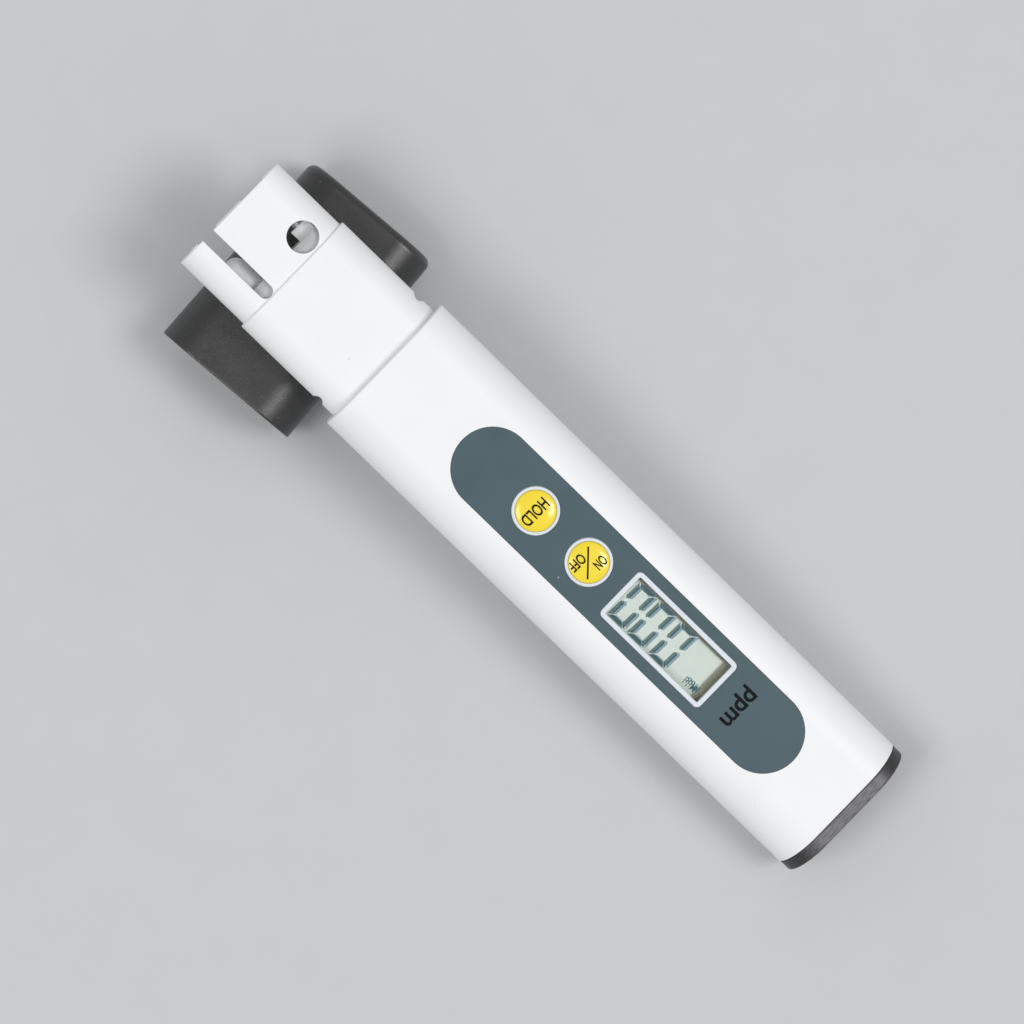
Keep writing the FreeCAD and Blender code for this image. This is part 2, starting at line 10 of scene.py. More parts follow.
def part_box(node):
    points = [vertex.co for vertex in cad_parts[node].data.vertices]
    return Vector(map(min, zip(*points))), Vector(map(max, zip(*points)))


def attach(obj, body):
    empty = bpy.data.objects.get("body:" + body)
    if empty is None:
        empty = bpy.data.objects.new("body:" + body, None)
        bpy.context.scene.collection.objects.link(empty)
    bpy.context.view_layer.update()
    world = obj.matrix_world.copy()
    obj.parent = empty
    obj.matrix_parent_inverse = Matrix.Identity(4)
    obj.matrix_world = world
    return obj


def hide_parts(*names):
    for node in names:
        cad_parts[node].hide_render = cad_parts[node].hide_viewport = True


bl_info = {
    "name": "Pen water tester",
    "version": (1, 0, 0),
    "blender": (4, 5, 0),
    "location": "3D View > Sidebar > Water tester",
    "description": "Dresses the frame of a pen-shaped water tester and its loose cap",
    "category": "Object",
}

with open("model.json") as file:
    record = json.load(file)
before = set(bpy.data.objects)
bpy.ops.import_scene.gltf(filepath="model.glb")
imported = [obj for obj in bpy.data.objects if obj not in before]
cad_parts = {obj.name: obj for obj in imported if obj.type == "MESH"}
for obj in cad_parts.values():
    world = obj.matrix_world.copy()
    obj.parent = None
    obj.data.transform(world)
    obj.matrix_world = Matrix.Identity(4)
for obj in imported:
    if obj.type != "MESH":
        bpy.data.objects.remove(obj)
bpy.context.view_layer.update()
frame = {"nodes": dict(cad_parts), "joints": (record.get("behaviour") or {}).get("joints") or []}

MM = 0.001

NOTCH_PLACE = -3.7 * MM         # from the shoulder, for the notches of the neck and the bumps of the cap
NOTCH_DIAMETER = 2.4 * MM
OVER = 12 * MM                  # how far a cutter reaches beyond the meter


# Where the meter lies. It leans on its cap, so it is modelled level and leaned at the end.

def joint_axis(name):
    """Direction in which a joint of the frame moves."""
    return Vector(next(joint["axis"] for joint in frame["joints"] if joint["name"] == name))


def meter_lean():
    """Turn from the level meter to the leaning one."""
    along = joint_axis("battery_slide")
    return Matrix.Rotation(math.atan2(-along.z, along.x), 4, "Y")


def box_in(turn, node):
    """Corners of a node of the frame after a turn."""
    points = [turn @ vertex.co for vertex in frame["nodes"][node].data.vertices]
    low = Vector([min(point[i] for point in points) for i in range(3)])
    high = Vector([max(point[i] for point in points) for i in range(3)])
    return low, high


def meter_place():
    """Place of the level meter: X from the shoulder to the battery end, Z out of the display."""
    lean = meter_lean()
    shoulder, _ = box_in(lean.inverted(), "body_shell")
    end_low, end_high = box_in(lean.inverted(), "battery_cap")
    middle = (end_low + end_high) / 2
    return lean @ Matrix.Translation((shoulder.x, middle.y, middle.z))


METER = meter_place()
LEVEL = METER.inverted()


def span(node):
    """Corners of a node in the level meter."""
    return box_in(LEVEL, node)


def size_of(node):
    low, high = span(node)
    return high - low


def middle_of(node):
    low, high = span(node)
    return (low + high) / 2


# Hand tools

def deselect():
    bpy.ops.object.select_all(action="DESELECT")


def pick(piece):
    """Selects one piece alone."""
    deselect()
    piece.select_set(True)
    bpy.context.view_layer.objects.active = piece


def settle(piece):
    """Moves a piece's place, turn and scale into its mesh."""
    pick(piece)
    bpy.ops.object.transform_apply(location=True, rotation=True, scale=True)


def named(name):
    """Names the object that has just been added and settles it."""
    piece = bpy.context.active_object
    piece.name = name
    piece.data.name = name
    settle(piece)
    return piece


def block(name, low, high):
    deselect()
    centre = [(a + b) / 2 for a, b in zip(low, high)]
    size = [b - a for a, b in zip(low, high)]
    bpy.ops.mesh.primitive_cube_add(size=1, location=centre, scale=size)
    return named(name)


def post(name, x, y, diameter, low, high, sides=72):
    deselect()
    bpy.ops.mesh.primitive_cylinder_add(vertices=sides, radius=diameter / 2, depth=high - low,
                                        location=(x, y, (low + high) / 2))
    return named(name)


def open_mesh(piece, mode):
    """Opens a piece in edit mode with nothing selected."""
    pick(piece)
    bpy.context.tool_settings.mesh_select_mode = (mode == "VERT", mode == "EDGE", mode == "FACE")
    for elements in (piece.data.vertices, piece.data.edges, piece.data.polygons):
        elements.foreach_set("select", [False] * len(elements))


def open_edges(piece, chosen):
    """Opens a piece with the edges selected whose two ends pass the test."""
    open_mesh(piece, "EDGE")
    points = piece.data.vertices
    for edge in piece.data.edges:
        edge.select = chosen(points[edge.vertices[0]].co, points[edge.vertices[1]].co)
    bpy.ops.object.mode_set(mode="EDIT")


def open_faces(piece, chosen):
    """Opens a piece with the faces selected whose centre and normal pass the test."""
    open_mesh(piece, "FACE")
    for face in piece.data.polygons:
        face.select = chosen(face.center, face.normal)
    bpy.ops.object.mode_set(mode="EDIT")


def close_mesh():
    bpy.ops.object.mode_set(mode="OBJECT")


def merge_points():
    bpy.ops.mesh.select_all(action="SELECT")
    bpy.ops.mesh.remove_doubles(threshold=1e-6)
    bpy.ops.mesh.select_all(action="DESELECT")


def extrude(x=0.0, y=0.0, z=0.0):
    bpy.ops.mesh.extrude_region_move(TRANSFORM_OT_translate={"value": (x, y, z)})


def tube(name, start, end, width, thickness, steps=18):
    """Bar along X whose section is two flats joined by half circles."""
    piece = block(name, (start, -width / 2, -thickness / 2), (end, width / 2, thickness / 2))
    open_edges(piece, lambda a, b: abs(a.x - b.x) > (end - start) / 2)
    bpy.ops.mesh.bevel(offset=thickness / 2, segments=steps, profile=0.5, clamp_overlap=True)
    merge_points()
    close_mesh()
    return piece


def plate(name, x, length, width, corner, low, high, steps=8):
    """Plate with rounded corners, seen from above."""
    piece = block(name, (x - length / 2, -width / 2, low), (x + length / 2, width / 2, high))
    open_edges(piece, lambda a, b: abs(a.z - b.z) > (high - low) / 2)
    bpy.ops.mesh.bevel(offset=corner, segments=steps, profile=0.5, clamp_overlap=True)
    merge_points()
    close_mesh()
    return piece


def off_middle(point, width, thickness):
    """Distance from the middle of a tube's section, half the thickness on its outline."""
    return math.hypot(max(abs(point.y) - (width - thickness) / 2, 0), point.z)


def round_outline(piece, x, width, thickness, amount, steps):
    """Rounds the outline of a tube's section at one place along it."""
    def on_outline(a, b):
        flat = all(abs(point.x - x) < 1e-6 for point in (a, b))
        return flat and all(abs(off_middle(point, width, thickness) - thickness / 2) < 2e-6 for point in (a, b))
    open_edges(piece, on_outline)
    bpy.ops.mesh.bevel(offset=amount, segments=steps, profile=0.5, clamp_overlap=True)
    close_mesh()


def arch_end(piece, start, width, thickness, amount):
    """Draws the round sides back beyond one place, so that the end is arched seen from above."""
    flat = (width - thickness) / 2
    open_mesh(piece, "VERT")
    bpy.ops.object.mode_set(mode="EDIT")
    points = [point for point in bmesh.from_edit_mesh(piece.data).verts if point.co.x > start]
    for row in sorted({round(abs(point.co.y), 7) for point in points}):
        if row > flat + 1e-6:
            bpy.ops.mesh.select_all(action="DESELECT")
            for point in points:
                point.select = abs(abs(point.co.y) - row) < 2e-7
            bpy.ops.transform.translate(value=(-amount * ((row - flat) / (thickness / 2)) ** 2, 0, 0))
    close_mesh()


def combine(piece, operation, *others):
    """Cuts other pieces from a piece or adds them to it."""
    for other in others:
        modifier = piece.modifiers.new(operation.lower(), "BOOLEAN")
        modifier.operation = operation
        modifier.solver = "EXACT"
        modifier.object = other
        pick(piece)
        bpy.ops.object.modifier_apply(modifier=modifier.name)
        bpy.data.objects.remove(other)


def join(piece, *others):
    """Makes one object of several."""
    pick(piece)
    for other in others:
        other.select_set(True)
    if others:
        bpy.ops.object.join()


def soften(piece, rounding, steps=2, angle=32):
    """Rounds the sharp edges a little and lets the flats stay flat."""
    pick(piece)
    bpy.ops.object.shade_smooth_by_angle(angle=math.radians(angle))
    if rounding > 0:
        bevel = piece.modifiers.new("rounding", "BEVEL")
        bevel.width = rounding
        bevel.segments = steps
        bevel.limit_method = "ANGLE"
        bevel.angle_limit = math.radians(angle)
        bevel.use_clamp_overlap = False
        bevel.loop_slide = False
        bevel.harden_normals = True
        bpy.ops.object.modifier_apply(modifier=bevel.name)
    normals = piece.modifiers.new("normals", "WEIGHTED_NORMAL")
    normals.keep_sharp = True
    bpy.ops.object.modifier_apply(modifier=normals.name)


def paint(piece, material):
    piece.data.materials.clear()
    piece.data.materials.append(material)


def fit_to_meter(piece, material, body, slot, *nodes):
    """Leans a level piece into place and hands it to the frame."""
    piece.matrix_world = METER
    settle(piece)
    hand_over(piece, material, body, slot, *nodes)


def hand_over(piece, material, body, slot, *nodes):
    """Paints a placed piece and lets it move with a body of the frame."""
    paint(piece, material)
    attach(piece, body)
    if nodes:
        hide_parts(*nodes)


# Surfaces

def add_node(tree, kind, inputs=None, **settings):
    """Adds a shader node with its settings and the values of its sockets."""
    made = tree.nodes.new(kind)
    for key, value in settings.items():
        setattr(made, key, value)
    for key, value in (inputs or {}).items():
        made.inputs[key].default_value = value
    return made


def link(tree, source, target, output=0, socket=0):
    tree.links.new(source.outputs[output], target.inputs[socket])


def open_group(name, inputs, outputs):
    """New shader node group with float sockets, and a vector first."""
    group = bpy.data.node_groups.new(name, "ShaderNodeTree")
    group.interface.new_socket("Vector", in_out="INPUT", socket_type="NodeSocketVector")
    for socket_name, value in inputs.items():
        socket = group.interface.new_socket(socket_name, in_out="INPUT", socket_type="NodeSocketFloat")
        socket.default_value = value
    for socket_name in outputs:
        group.interface.new_socket(socket_name, in_out="OUTPUT", socket_type="NodeSocketFloat")
    return group, group.nodes.new("NodeGroupInput"), group.nodes.new("NodeGroupOutput")


def moulding_group():
    """Fine grain, slow unevenness, hairline scuffs and stray dust of a moulded surface."""
    tree, given, result = open_group("Moulded surface", {"Grain scale": 5000.0, "Dust share": 0.1},
                                     ("Grain", "Unevenness", "Scuffs", "Dust"))
    grain = add_node(tree, "ShaderNodeTexNoise", {"Detail": 2.0, "Roughness": 0.55})
    link(tree, given, grain, "Vector", "Vector")
    link(tree, given, grain, "Grain scale", "Scale")
    link(tree, grain, result, "Fac", "Grain")

    slow = add_node(tree, "ShaderNodeTexNoise", {"Scale": 90.0, "Detail": 3.0, "Roughness": 0.6})
    link(tree, given, slow, "Vector", "Vector")
    link(tree, slow, result, "Fac", "Unevenness")

    stretch = add_node(tree, "ShaderNodeMapping", {"Rotation": (0.3, 0.2, 0.6), "Scale": (60.0, 1300.0, 900.0)})
    lines = add_node(tree, "ShaderNodeTexNoise", {"Scale": 1.0, "Detail": 1.0, "Distortion": 0.7})
    thin = add_node(tree, "ShaderNodeMapRange", {"From Min": 0.70, "From Max": 0.76})
    link(tree, given, stretch, "Vector", "Vector")
    link(tree, stretch, lines, "Vector", "Vector")
    link(tree, lines, thin, "Fac", "Value")
    link(tree, thin, result, "Result", "Scuffs")

    cells = add_node(tree, "ShaderNodeTexVoronoi", {"Scale": 420.0})
    near = add_node(tree, "ShaderNodeMapRange", {"From Min": 0.10, "From Max": 0.05})
    parts = add_node(tree, "ShaderNodeSeparateColor")
    keep = add_node(tree, "ShaderNodeMath", operation="LESS_THAN")
    both = add_node(tree, "ShaderNodeMath", operation="MULTIPLY")
    link(tree, given, cells, "Vector", "Vector")
    link(tree, cells, near, "Distance", "Value")
    link(tree, cells, parts, "Color", "Color")
    link(tree, parts, keep, "Red", 0)
    link(tree, given, keep, "Dust share", 1)
    link(tree, near, both, "Result", 0)
    link(tree, keep, both, "Value", 1)
    link(tree, both, result, "Value", "Dust")
    return tree


def brushing_group():
    """Fine parallel lines and tarnish of drawn or rolled metal."""
    tree, given, result = open_group("Drawn metal", {"Line scale": 4000.0}, ("Lines", "Tarnish"))
    stretch = add_node(tree, "ShaderNodeVectorMath", operation="MULTIPLY")
    stretch.inputs[1].default_value = (0.03, 1.0, 1.0)
    lines = add_node(tree, "ShaderNodeTexNoise", {"Detail": 2.0})
    slow = add_node(tree, "ShaderNodeTexNoise", {"Scale": 350.0, "Detail": 3.0})
    link(tree, given, stretch, "Vector", 0)
    link(tree, stretch, lines, "Vector", "Vector")
    link(tree, given, lines, "Line scale", "Scale")
    link(tree, given, slow, "Vector", "Vector")
    link(tree, lines, result, "Fac", "Lines")
    link(tree, slow, result, "Fac", "Tarnish")
    return tree


MOULDING = moulding_group()
BRUSHING = brushing_group()


def open_material(name, group, values):
    """New material that reads Object coordinates through one of the shared groups."""
    material = bpy.data.materials.new(name)
    material.use_nodes = True
    tree = material.node_tree
    place = add_node(tree, "ShaderNodeTexCoord")
    surface = add_node(tree, "ShaderNodeGroup", node_tree=group)
    for key, value in values.items():
        surface.inputs[key].default_value = value
    link(tree, place, surface, "Object", "Vector")
    return material, tree, surface, tree.nodes["Principled BSDF"]


def open_moulding(name, grain_scale, dust_share):
    return open_material(name, MOULDING, {"Grain scale": grain_scale, "Dust share": dust_share})


def blend_colour(tree, mask, output, first, second, low=0.0, high=1.0):
    """Colour that goes from the first to the second as the mask goes from low to high."""
    ramp = add_node(tree, "ShaderNodeMapRange", {"From Min": low, "From Max": high})
    mix = add_node(tree, "ShaderNodeMix", data_type="RGBA")
    link(tree, mask, ramp, output, "Value")
    tree.links.new(ramp.outputs["Result"], mix.inputs["Factor"])
    for socket, value in (("A", first), ("B", second)):
        target = next(i for i in mix.inputs if i.name == socket and i.type == "RGBA")
        if isinstance(value, bpy.types.NodeSocket):
            tree.links.new(value, target)
        else:
            target.default_value = (*value, 1.0)
    return next(o for o in mix.outputs if o.type == "RGBA")


def blend_value(tree, mask, output, first, second, low=0.0, high=1.0):
    ramp = add_node(tree, "ShaderNodeMapRange",
                    {"From Min": low, "From Max": high, "To Min": first, "To Max": second})
    link(tree, mask, ramp, output, "Value")
    return ramp


def set_finish(tree, shader, colour, mask, output, smooth, rough):
    """Gives a surface its colour, and a roughness that a mask varies."""
    tree.links.new(colour, shader.inputs["Base Color"])
    link(tree, blend_value(tree, mask, output, smooth, rough, 0.3, 0.7), shader, "Result", "Roughness")


def raise_bump(tree, shader, mask, output, depth):
    """Lets a mask stand out of the surface by a depth in metres."""
    bump = add_node(tree, "ShaderNodeBump", {"Strength": 1.0, "Distance": depth})
    link(tree, mask, bump, output, "Height")
    link(tree, bump, shader, "Normal", "Normal")
    return bump


def shade(colour, factor):
    return tuple(min(part * factor, 1.0) for part in colour)


def moulded(name, colour, roughness, grain_scale=5000.0, grain_depth=4e-6, uneven=0.04, dust_share=0.06,
            dust_colour=None, scuff=0.12, specular=0.5, coat=0.0, coat_roughness=0.06):
    """Moulded plastic, rubber or film."""
    material, tree, surface, shader = open_moulding(name, grain_scale, dust_share)
    base = blend_colour(tree, surface, "Unevenness", shade(colour, 1 - uneven), shade(colour, 1 + uneven),
                        0.3, 0.7)
    worn = blend_colour(tree, surface, "Scuffs", base, shade(colour, 1 - uneven * 2), 0.0, 4.0)
    dusty = blend_colour(tree, surface, "Dust", worn, dust_colour or shade(colour, 0.7), 0.0, 1.3)
    tree.links.new(dusty, shader.inputs["Base Color"])
    matt = blend_value(tree, surface, "Unevenness", roughness - 0.04, roughness + 0.05, 0.3, 0.7)
    rubbed = add_node(tree, "ShaderNodeMath", operation="MULTIPLY_ADD")
    rubbed.inputs[1].default_value = scuff
    link(tree, surface, rubbed, "Scuffs", 0)
    link(tree, matt, rubbed, "Result", 2)
    link(tree, rubbed, shader, "Value", "Roughness")
    raise_bump(tree, shader, surface, "Grain", grain_depth)
    shader.inputs["Specular IOR Level"].default_value = specular
    shader.inputs["Coat Weight"].default_value = coat
    shader.inputs["Coat Roughness"].default_value = coat_roughness
    return material


def metal(name, colour, roughness, line_scale=4000.0, depth=2e-6, tarnish=0.35):
    """Drawn, rolled or turned metal."""
    material, tree, surface, shader = open_material(name, BRUSHING, {"Line scale": line_scale})
    stained = blend_colour(tree, surface, "Tarnish", colour, shade(colour, 1 - tarnish), 0.45, 0.75)
    set_finish(tree, shader, stained, surface, "Lines", roughness - 0.06, roughness + 0.1)
    raise_bump(tree, shader, surface, "Lines", depth)
    shader.inputs["Metallic"].default_value = 1.0
    return material


def printed(name, colour, roughness=0.5, alpha=1.0, specular=0.12):
    """Screen print or display segment, slightly uneven where it lies thin."""
    material, tree, surface, shader = open_moulding(name, 9000.0, 0.0)
    pale = tuple(part * 1.4 + 0.002 for part in colour)
    thin = blend_colour(tree, surface, "Grain", colour, pale, 0.45, 0.75)
    set_finish(tree, shader, thin, surface, "Unevenness", roughness - 0.08, roughness + 0.08)
    raise_bump(tree, shader, surface, "Grain", 1.5e-6)
    shader.inputs["Specular IOR Level"].default_value = specular
    shader.inputs["Alpha"].default_value = alpha
    return material


def clear_lens(name):
    """Clear acrylic that lets light through to the display."""
    material, tree, surface, shader = open_moulding(name, 1500.0, 0.10)
    haze = add_node(tree, "ShaderNodeMath", operation="MULTIPLY_ADD")
    haze.inputs[1].default_value = 0.12
    haze.inputs[2].default_value = 0.015
    link(tree, surface, haze, "Scuffs", 0)
    link(tree, haze, shader, "Value", "Roughness")
    tint = blend_colour(tree, surface, "Dust", (1.0, 1.0, 1.0), (0.75, 0.76, 0.76), 0.0, 1.0)
    tree.links.new(tint, shader.inputs["Base Color"])
    shader.inputs["IOR"].default_value = 1.49
    shader.inputs["Transmission Weight"].default_value = 1.0
    passing = add_node(tree, "ShaderNodeBsdfTransparent", {"Color": (0.97, 0.98, 0.98, 1.0)})
    path = add_node(tree, "ShaderNodeLightPath")
    unseen = add_node(tree, "ShaderNodeMath", operation="MAXIMUM")
    link(tree, path, unseen, "Is Shadow Ray", 0)
    link(tree, path, unseen, "Is Diffuse Ray", 1)
    mix = add_node(tree, "ShaderNodeMixShader")
    output = tree.nodes["Material Output"]
    tree.links.new(unseen.outputs["Value"], mix.inputs[0])
    tree.links.new(shader.outputs[0], mix.inputs[1])
    tree.links.new(passing.outputs[0], mix.inputs[2])
    tree.links.new(mix.outputs[0], output.inputs["Surface"])
    return material


def level_coordinates(tree, centre=(0, 0, 0)):
    """Object coordinates turned level, from a point of the level meter."""
    place = add_node(tree, "ShaderNodeTexCoord")
    turn = LEVEL.to_euler()
    offset = LEVEL.translation - Vector(centre)
    mapping = add_node(tree, "ShaderNodeMapping", {"Rotation": tuple(turn), "Location": tuple(offset)})
    parts = add_node(tree, "ShaderNodeSeparateXYZ")
    link(tree, place, mapping, "Object", "Vector")
    link(tree, mapping, parts, "Vector", "Vector")
    return parts


def core_plastic(name, colour):
    """White plastic of the core, with painted shade on the block behind the chamber, darkest at its front edge.
    """
    material, tree, surface, shader = open_moulding(name, 4200.0, 0.02)
    parts = level_coordinates(tree)
    front = -25.15 * MM
    edge = 0.01 * MM
    # Painted shade: the block behind the chamber is darkest at its front edge and lighter further back.
    block_painted_shade = blend_colour(tree, parts, "X", shade(colour, 0.42), shade(colour, 0.66), front,
                              front + 2.7 * MM)
    whole = blend_colour(tree, parts, "X", shade(colour, 0.88), block_painted_shade, front - edge, front + edge)
    uneven = blend_colour(tree, surface, "Unevenness", whole, shade(colour, 0.6), 0.3, 8.0)
    set_finish(tree, shader, uneven, surface, "Grain", 0.3, 0.4)
    raise_bump(tree, shader, surface, "Grain", 3e-6)
    return material


def reflection_painted_end(name, colour):
    """Black plastic of the battery cap, with a painted reflection: a lighter, finely streaked grey along its
    flat band.
    """
    material, tree, surface, shader = open_moulding(name, 3300.0, 0.2)
    parts = level_coordinates(tree)
    off = add_node(tree, "ShaderNodeMath", operation="ABSOLUTE")
    link(tree, parts, off, "Y")
    stretch = add_node(tree, "ShaderNodeCombineXYZ")
    along = add_node(tree, "ShaderNodeMath", operation="MULTIPLY")
    along.inputs[1].default_value = 0.18
    link(tree, parts, along, "Y")
    link(tree, parts, stretch, "X", "X")
    link(tree, along, stretch, "Value", "Y")
    link(tree, parts, stretch, "Z", "Z")
    streaks = add_node(tree, "ShaderNodeTexNoise", {"Scale": 3400.0, "Detail": 2.0})
    link(tree, stretch, streaks, "Vector", "Vector")
    # Painted reflection: the middle of the flat band is a lighter streaked grey, fading to black towards the
    # round sides.
    painted_reflection = blend_colour(tree, streaks, "Fac", shade(colour, 6.5), shade(colour, 14.0), 0.35, 0.68)
    band = blend_colour(tree, off, "Value", painted_reflection, colour, 6.0 * MM, 11.0 * MM)
    dusty = blend_colour(tree, surface, "Dust", band, (0.10, 0.10, 0.11), 0.0, 1.3)
    set_finish(tree, shader, dusty, streaks, "Fac", 0.36, 0.5)
    raise_bump(tree, shader, streaks, "Fac", 1.5e-5)
    shader.inputs["Specular IOR Level"].default_value = 0.8
    return material


def display_ground(name, colour, shadow, length, width):
    """Grey-green reflector of the display, with the shadow of its frame painted along one side and one end."""
    material, tree, surface, shader = open_moulding(name, 3500.0, 0.02)
    base = blend_colour(tree, surface, "Grain", shade(colour, 0.985), shade(colour, 1.015), 0.35, 0.65)
    mottled = blend_colour(tree, surface, "Unevenness", base, shade(colour, 0.97), 0.4, 0.9)
    parts = level_coordinates(tree, middle_of("display_window"))
    # Painted shadow of the frame: the ground darkens towards the +Y side and the +X end.
    side = blend_value(tree, parts, "Y", 0.0, 1.0, width / 2 - 0.75 * MM, width / 2 - 0.35 * MM)
    end = blend_value(tree, parts, "X", 0.0, 1.0, length / 2 - 1.8 * MM, length / 2 - 1.15 * MM)
    for ramp in (side, end):
        ramp.interpolation_type = "SMOOTHSTEP"
    both = add_node(tree, "ShaderNodeMath", operation="MAXIMUM")
    link(tree, side, both, "Result", 0)
    link(tree, end, both, "Result", 1)
    frame_shadowed = blend_colour(tree, both, "Value", mottled, shadow)
    set_finish(tree, shader, frame_shadowed, surface, "Grain", 0.42, 0.5)
    raise_bump(tree, shader, surface, "Grain", 1e-6)
    return material


def board_lacquer(name, colour):
    """Green lacquer over copper tracks."""
    material, tree, surface, shader = open_moulding(name, 2500.0, 0.05)
    place = add_node(tree, "ShaderNodeTexCoord")
    tracks = add_node(tree, "ShaderNodeTexBrick", {"Scale": 1.0, "Mortar Size": 0.0002, "Brick Width": 0.0062,
                                                   "Row Height": 0.0011, "Mortar Smooth": 0.2, "Bias": 0.0})
    link(tree, place, tracks, "Object", "Vector")
    base = blend_colour(tree, surface, "Unevenness", shade(colour, 0.85), shade(colour, 1.15), 0.3, 0.7)
    track = blend_colour(tree, tracks, "Fac", base, shade(colour, 1.7))
    set_finish(tree, shader, track, surface, "Grain", 0.22, 0.34)
    raise_bump(tree, shader, tracks, "Fac", 2e-5)
    return material


def striped_rubber(name):
    """Contact strip: conducting and insulating layers in turn."""
    material, tree, surface, shader = open_moulding(name, 6000.0, 0.02)
    place = add_node(tree, "ShaderNodeTexCoord")
    bands = add_node(tree, "ShaderNodeTexWave", {"Scale": 900.0, "Distortion": 0.0})
    link(tree, place, bands, "Object", "Vector")
    layer = blend_colour(tree, bands, "Fac", (0.03, 0.03, 0.03), (0.55, 0.35, 0.33), 0.45, 0.55)
    set_finish(tree, shader, layer, surface, "Unevenness", 0.55, 0.7)
    raise_bump(tree, shader, surface, "Grain", 5e-6)
    return material


# Sizes, colours and light that a user would change

def size_property(name, description, millimetres):
    return FloatProperty(name=name, description=description, default=millimetres * MM, unit="LENGTH",
                         precision=5)


def colour_property(name, description, colour):
    return FloatVectorProperty(name=name, description=description, size=3, subtype="COLOR", default=colour,
                               min=0, max=1)


class MeterSizes(bpy.types.PropertyGroup):
    """Sizes that the frame leaves to the finish"""
    wall: size_property("Wall", "Wall of the case", 1.6)
    edge_rounding: size_property("Edge rounding", "Rounding of the moulded edges", 0.12)
    shoulder_rounding: size_property("Shoulder rounding", "Rounding of the case at the shoulder", 0.35)
    end_arch: size_property("End arch", "How far the round sides draw back at the battery end", 0.35)
    rim_height: size_property("Rim height", "Height of the rims over the case", 0.2)
    rim_width: size_property("Rim width", "Width of the white rim round the display", 0.85)
    ring_width: size_property("Ring width", "Width of the white ring round a button", 0.55)
    shroud_wall: size_property("Shroud wall", "Wall of the slotted shroud", 1.2)
    shroud_length: size_property("Shroud length", "Length of the slotted shroud", 15.2)
    button_hole: size_property("Button hole", "Diameter of the hole that a button stands in", 7.4)
    button_gap: size_property("Button gap", "Gap round a button in its hole", 0.04)
    button_crown: size_property("Button crown", "Height of a button's dome", 0.45)
    button_shoulder: size_property("Button shoulder", "Rounding of a button's edge", 0.2)
    letter_height: size_property("Letter height", "Height of the letters on the buttons", 2.25)
    digit_width: size_property("Digit width", "Width of a display digit", 4.05)
    digit_height: size_property("Digit height", "Height of a display digit", 8.3)
    digit_stroke: size_property("Digit stroke", "Width of a display segment", 1.03)
    digit_pitch: size_property("Digit pitch", "Distance from one digit to the next", 4.76)
    point_room: size_property("Point room", "Extra room before the last digit", 0.46)
    digit_gap: size_property("Digit gap", "Gap between the segments of a digit", 0.24)
    digit_lean: FloatProperty(name="Digit lean", description="Sideways lean of a digit per height",
                              default=0.045)
    digit_count: IntProperty(name="Digits", description="Number of digits shown", default=3, min=1, max=4)


class MeterColours(bpy.types.PropertyGroup):
    """Colours of the finish, as linear values"""
    case: colour_property("Case", "Colour of the case", (0.86, 0.865, 0.87))
    rim: colour_property("Rims", "Colour of the rims round the display and the buttons", (0.70, 0.75, 0.80))
    label: colour_property("Label", "Colour of the keypad label", (0.050, 0.090, 0.110))
    button: colour_property("Button", "Colour of the buttons", (0.92, 0.71, 0.028))
    cap: colour_property("Cap", "Colour of both black caps", (0.012, 0.012, 0.013))
    display: colour_property("Display", "Colour of the display's ground", (0.62, 0.69, 0.62))
    # Colour of the frame's shadow that is painted on the display's ground.
    display_shadow: colour_property("Display painted shadow", "Colour under the display's frame", (0.17, 0.175, 0.115))
    segments: colour_property("Segments", "Colour of the display's segments", (0.046, 0.185, 0.379))
    segment_shadows: colour_property("Segment shadows", "Colour of the segments' own shadows",
                                     (0.027, 0.108, 0.100))
    ink: colour_property("Ink", "Colour of the printed letters", (0.010, 0.007, 0.001))
    floor: colour_property("Floor", "Colour of the floor", (0.56, 0.57, 0.58))


class StudioLight(bpy.types.PropertyGroup):
    """Light and camera"""
    sky: FloatProperty(name="Sky", description="Strength of the even light from all sides", default=0.50, min=0)
    key_power: FloatProperty(name="Key light", description="Power of the soft light on the right", default=22.0,
                             min=0, unit="POWER")
    fill_power: FloatProperty(name="Fill light", description="Power of the soft light on the left",
                              default=16.0, min=0, unit="POWER")
    softness: FloatProperty(name="Softness", description="Side of each square light", default=0.9,
                            unit="LENGTH")
    distance: FloatProperty(name="Distance", description="Distance of both lights", default=2.4, unit="LENGTH")
    camera_height: FloatProperty(name="Camera height", description="Height of the camera over the floor",
                                 default=0.9495, unit="LENGTH")
    focal_length: FloatProperty(name="Focal length", description="Lens of the camera, in millimetres",
                                default=188.05)
    camera_turn: FloatProperty(name="Camera turn", description="Turn of the camera about the upright",
                               default=math.radians(44.14), unit="ROTATION")


def sizes():
    return bpy.context.scene.meter_sizes


def colours():
    return bpy.context.scene.meter_colours


def button_places():
    """Centres of the two buttons along the case."""
    return [middle_of(node).x for node in ("hold_button", "power_button")]


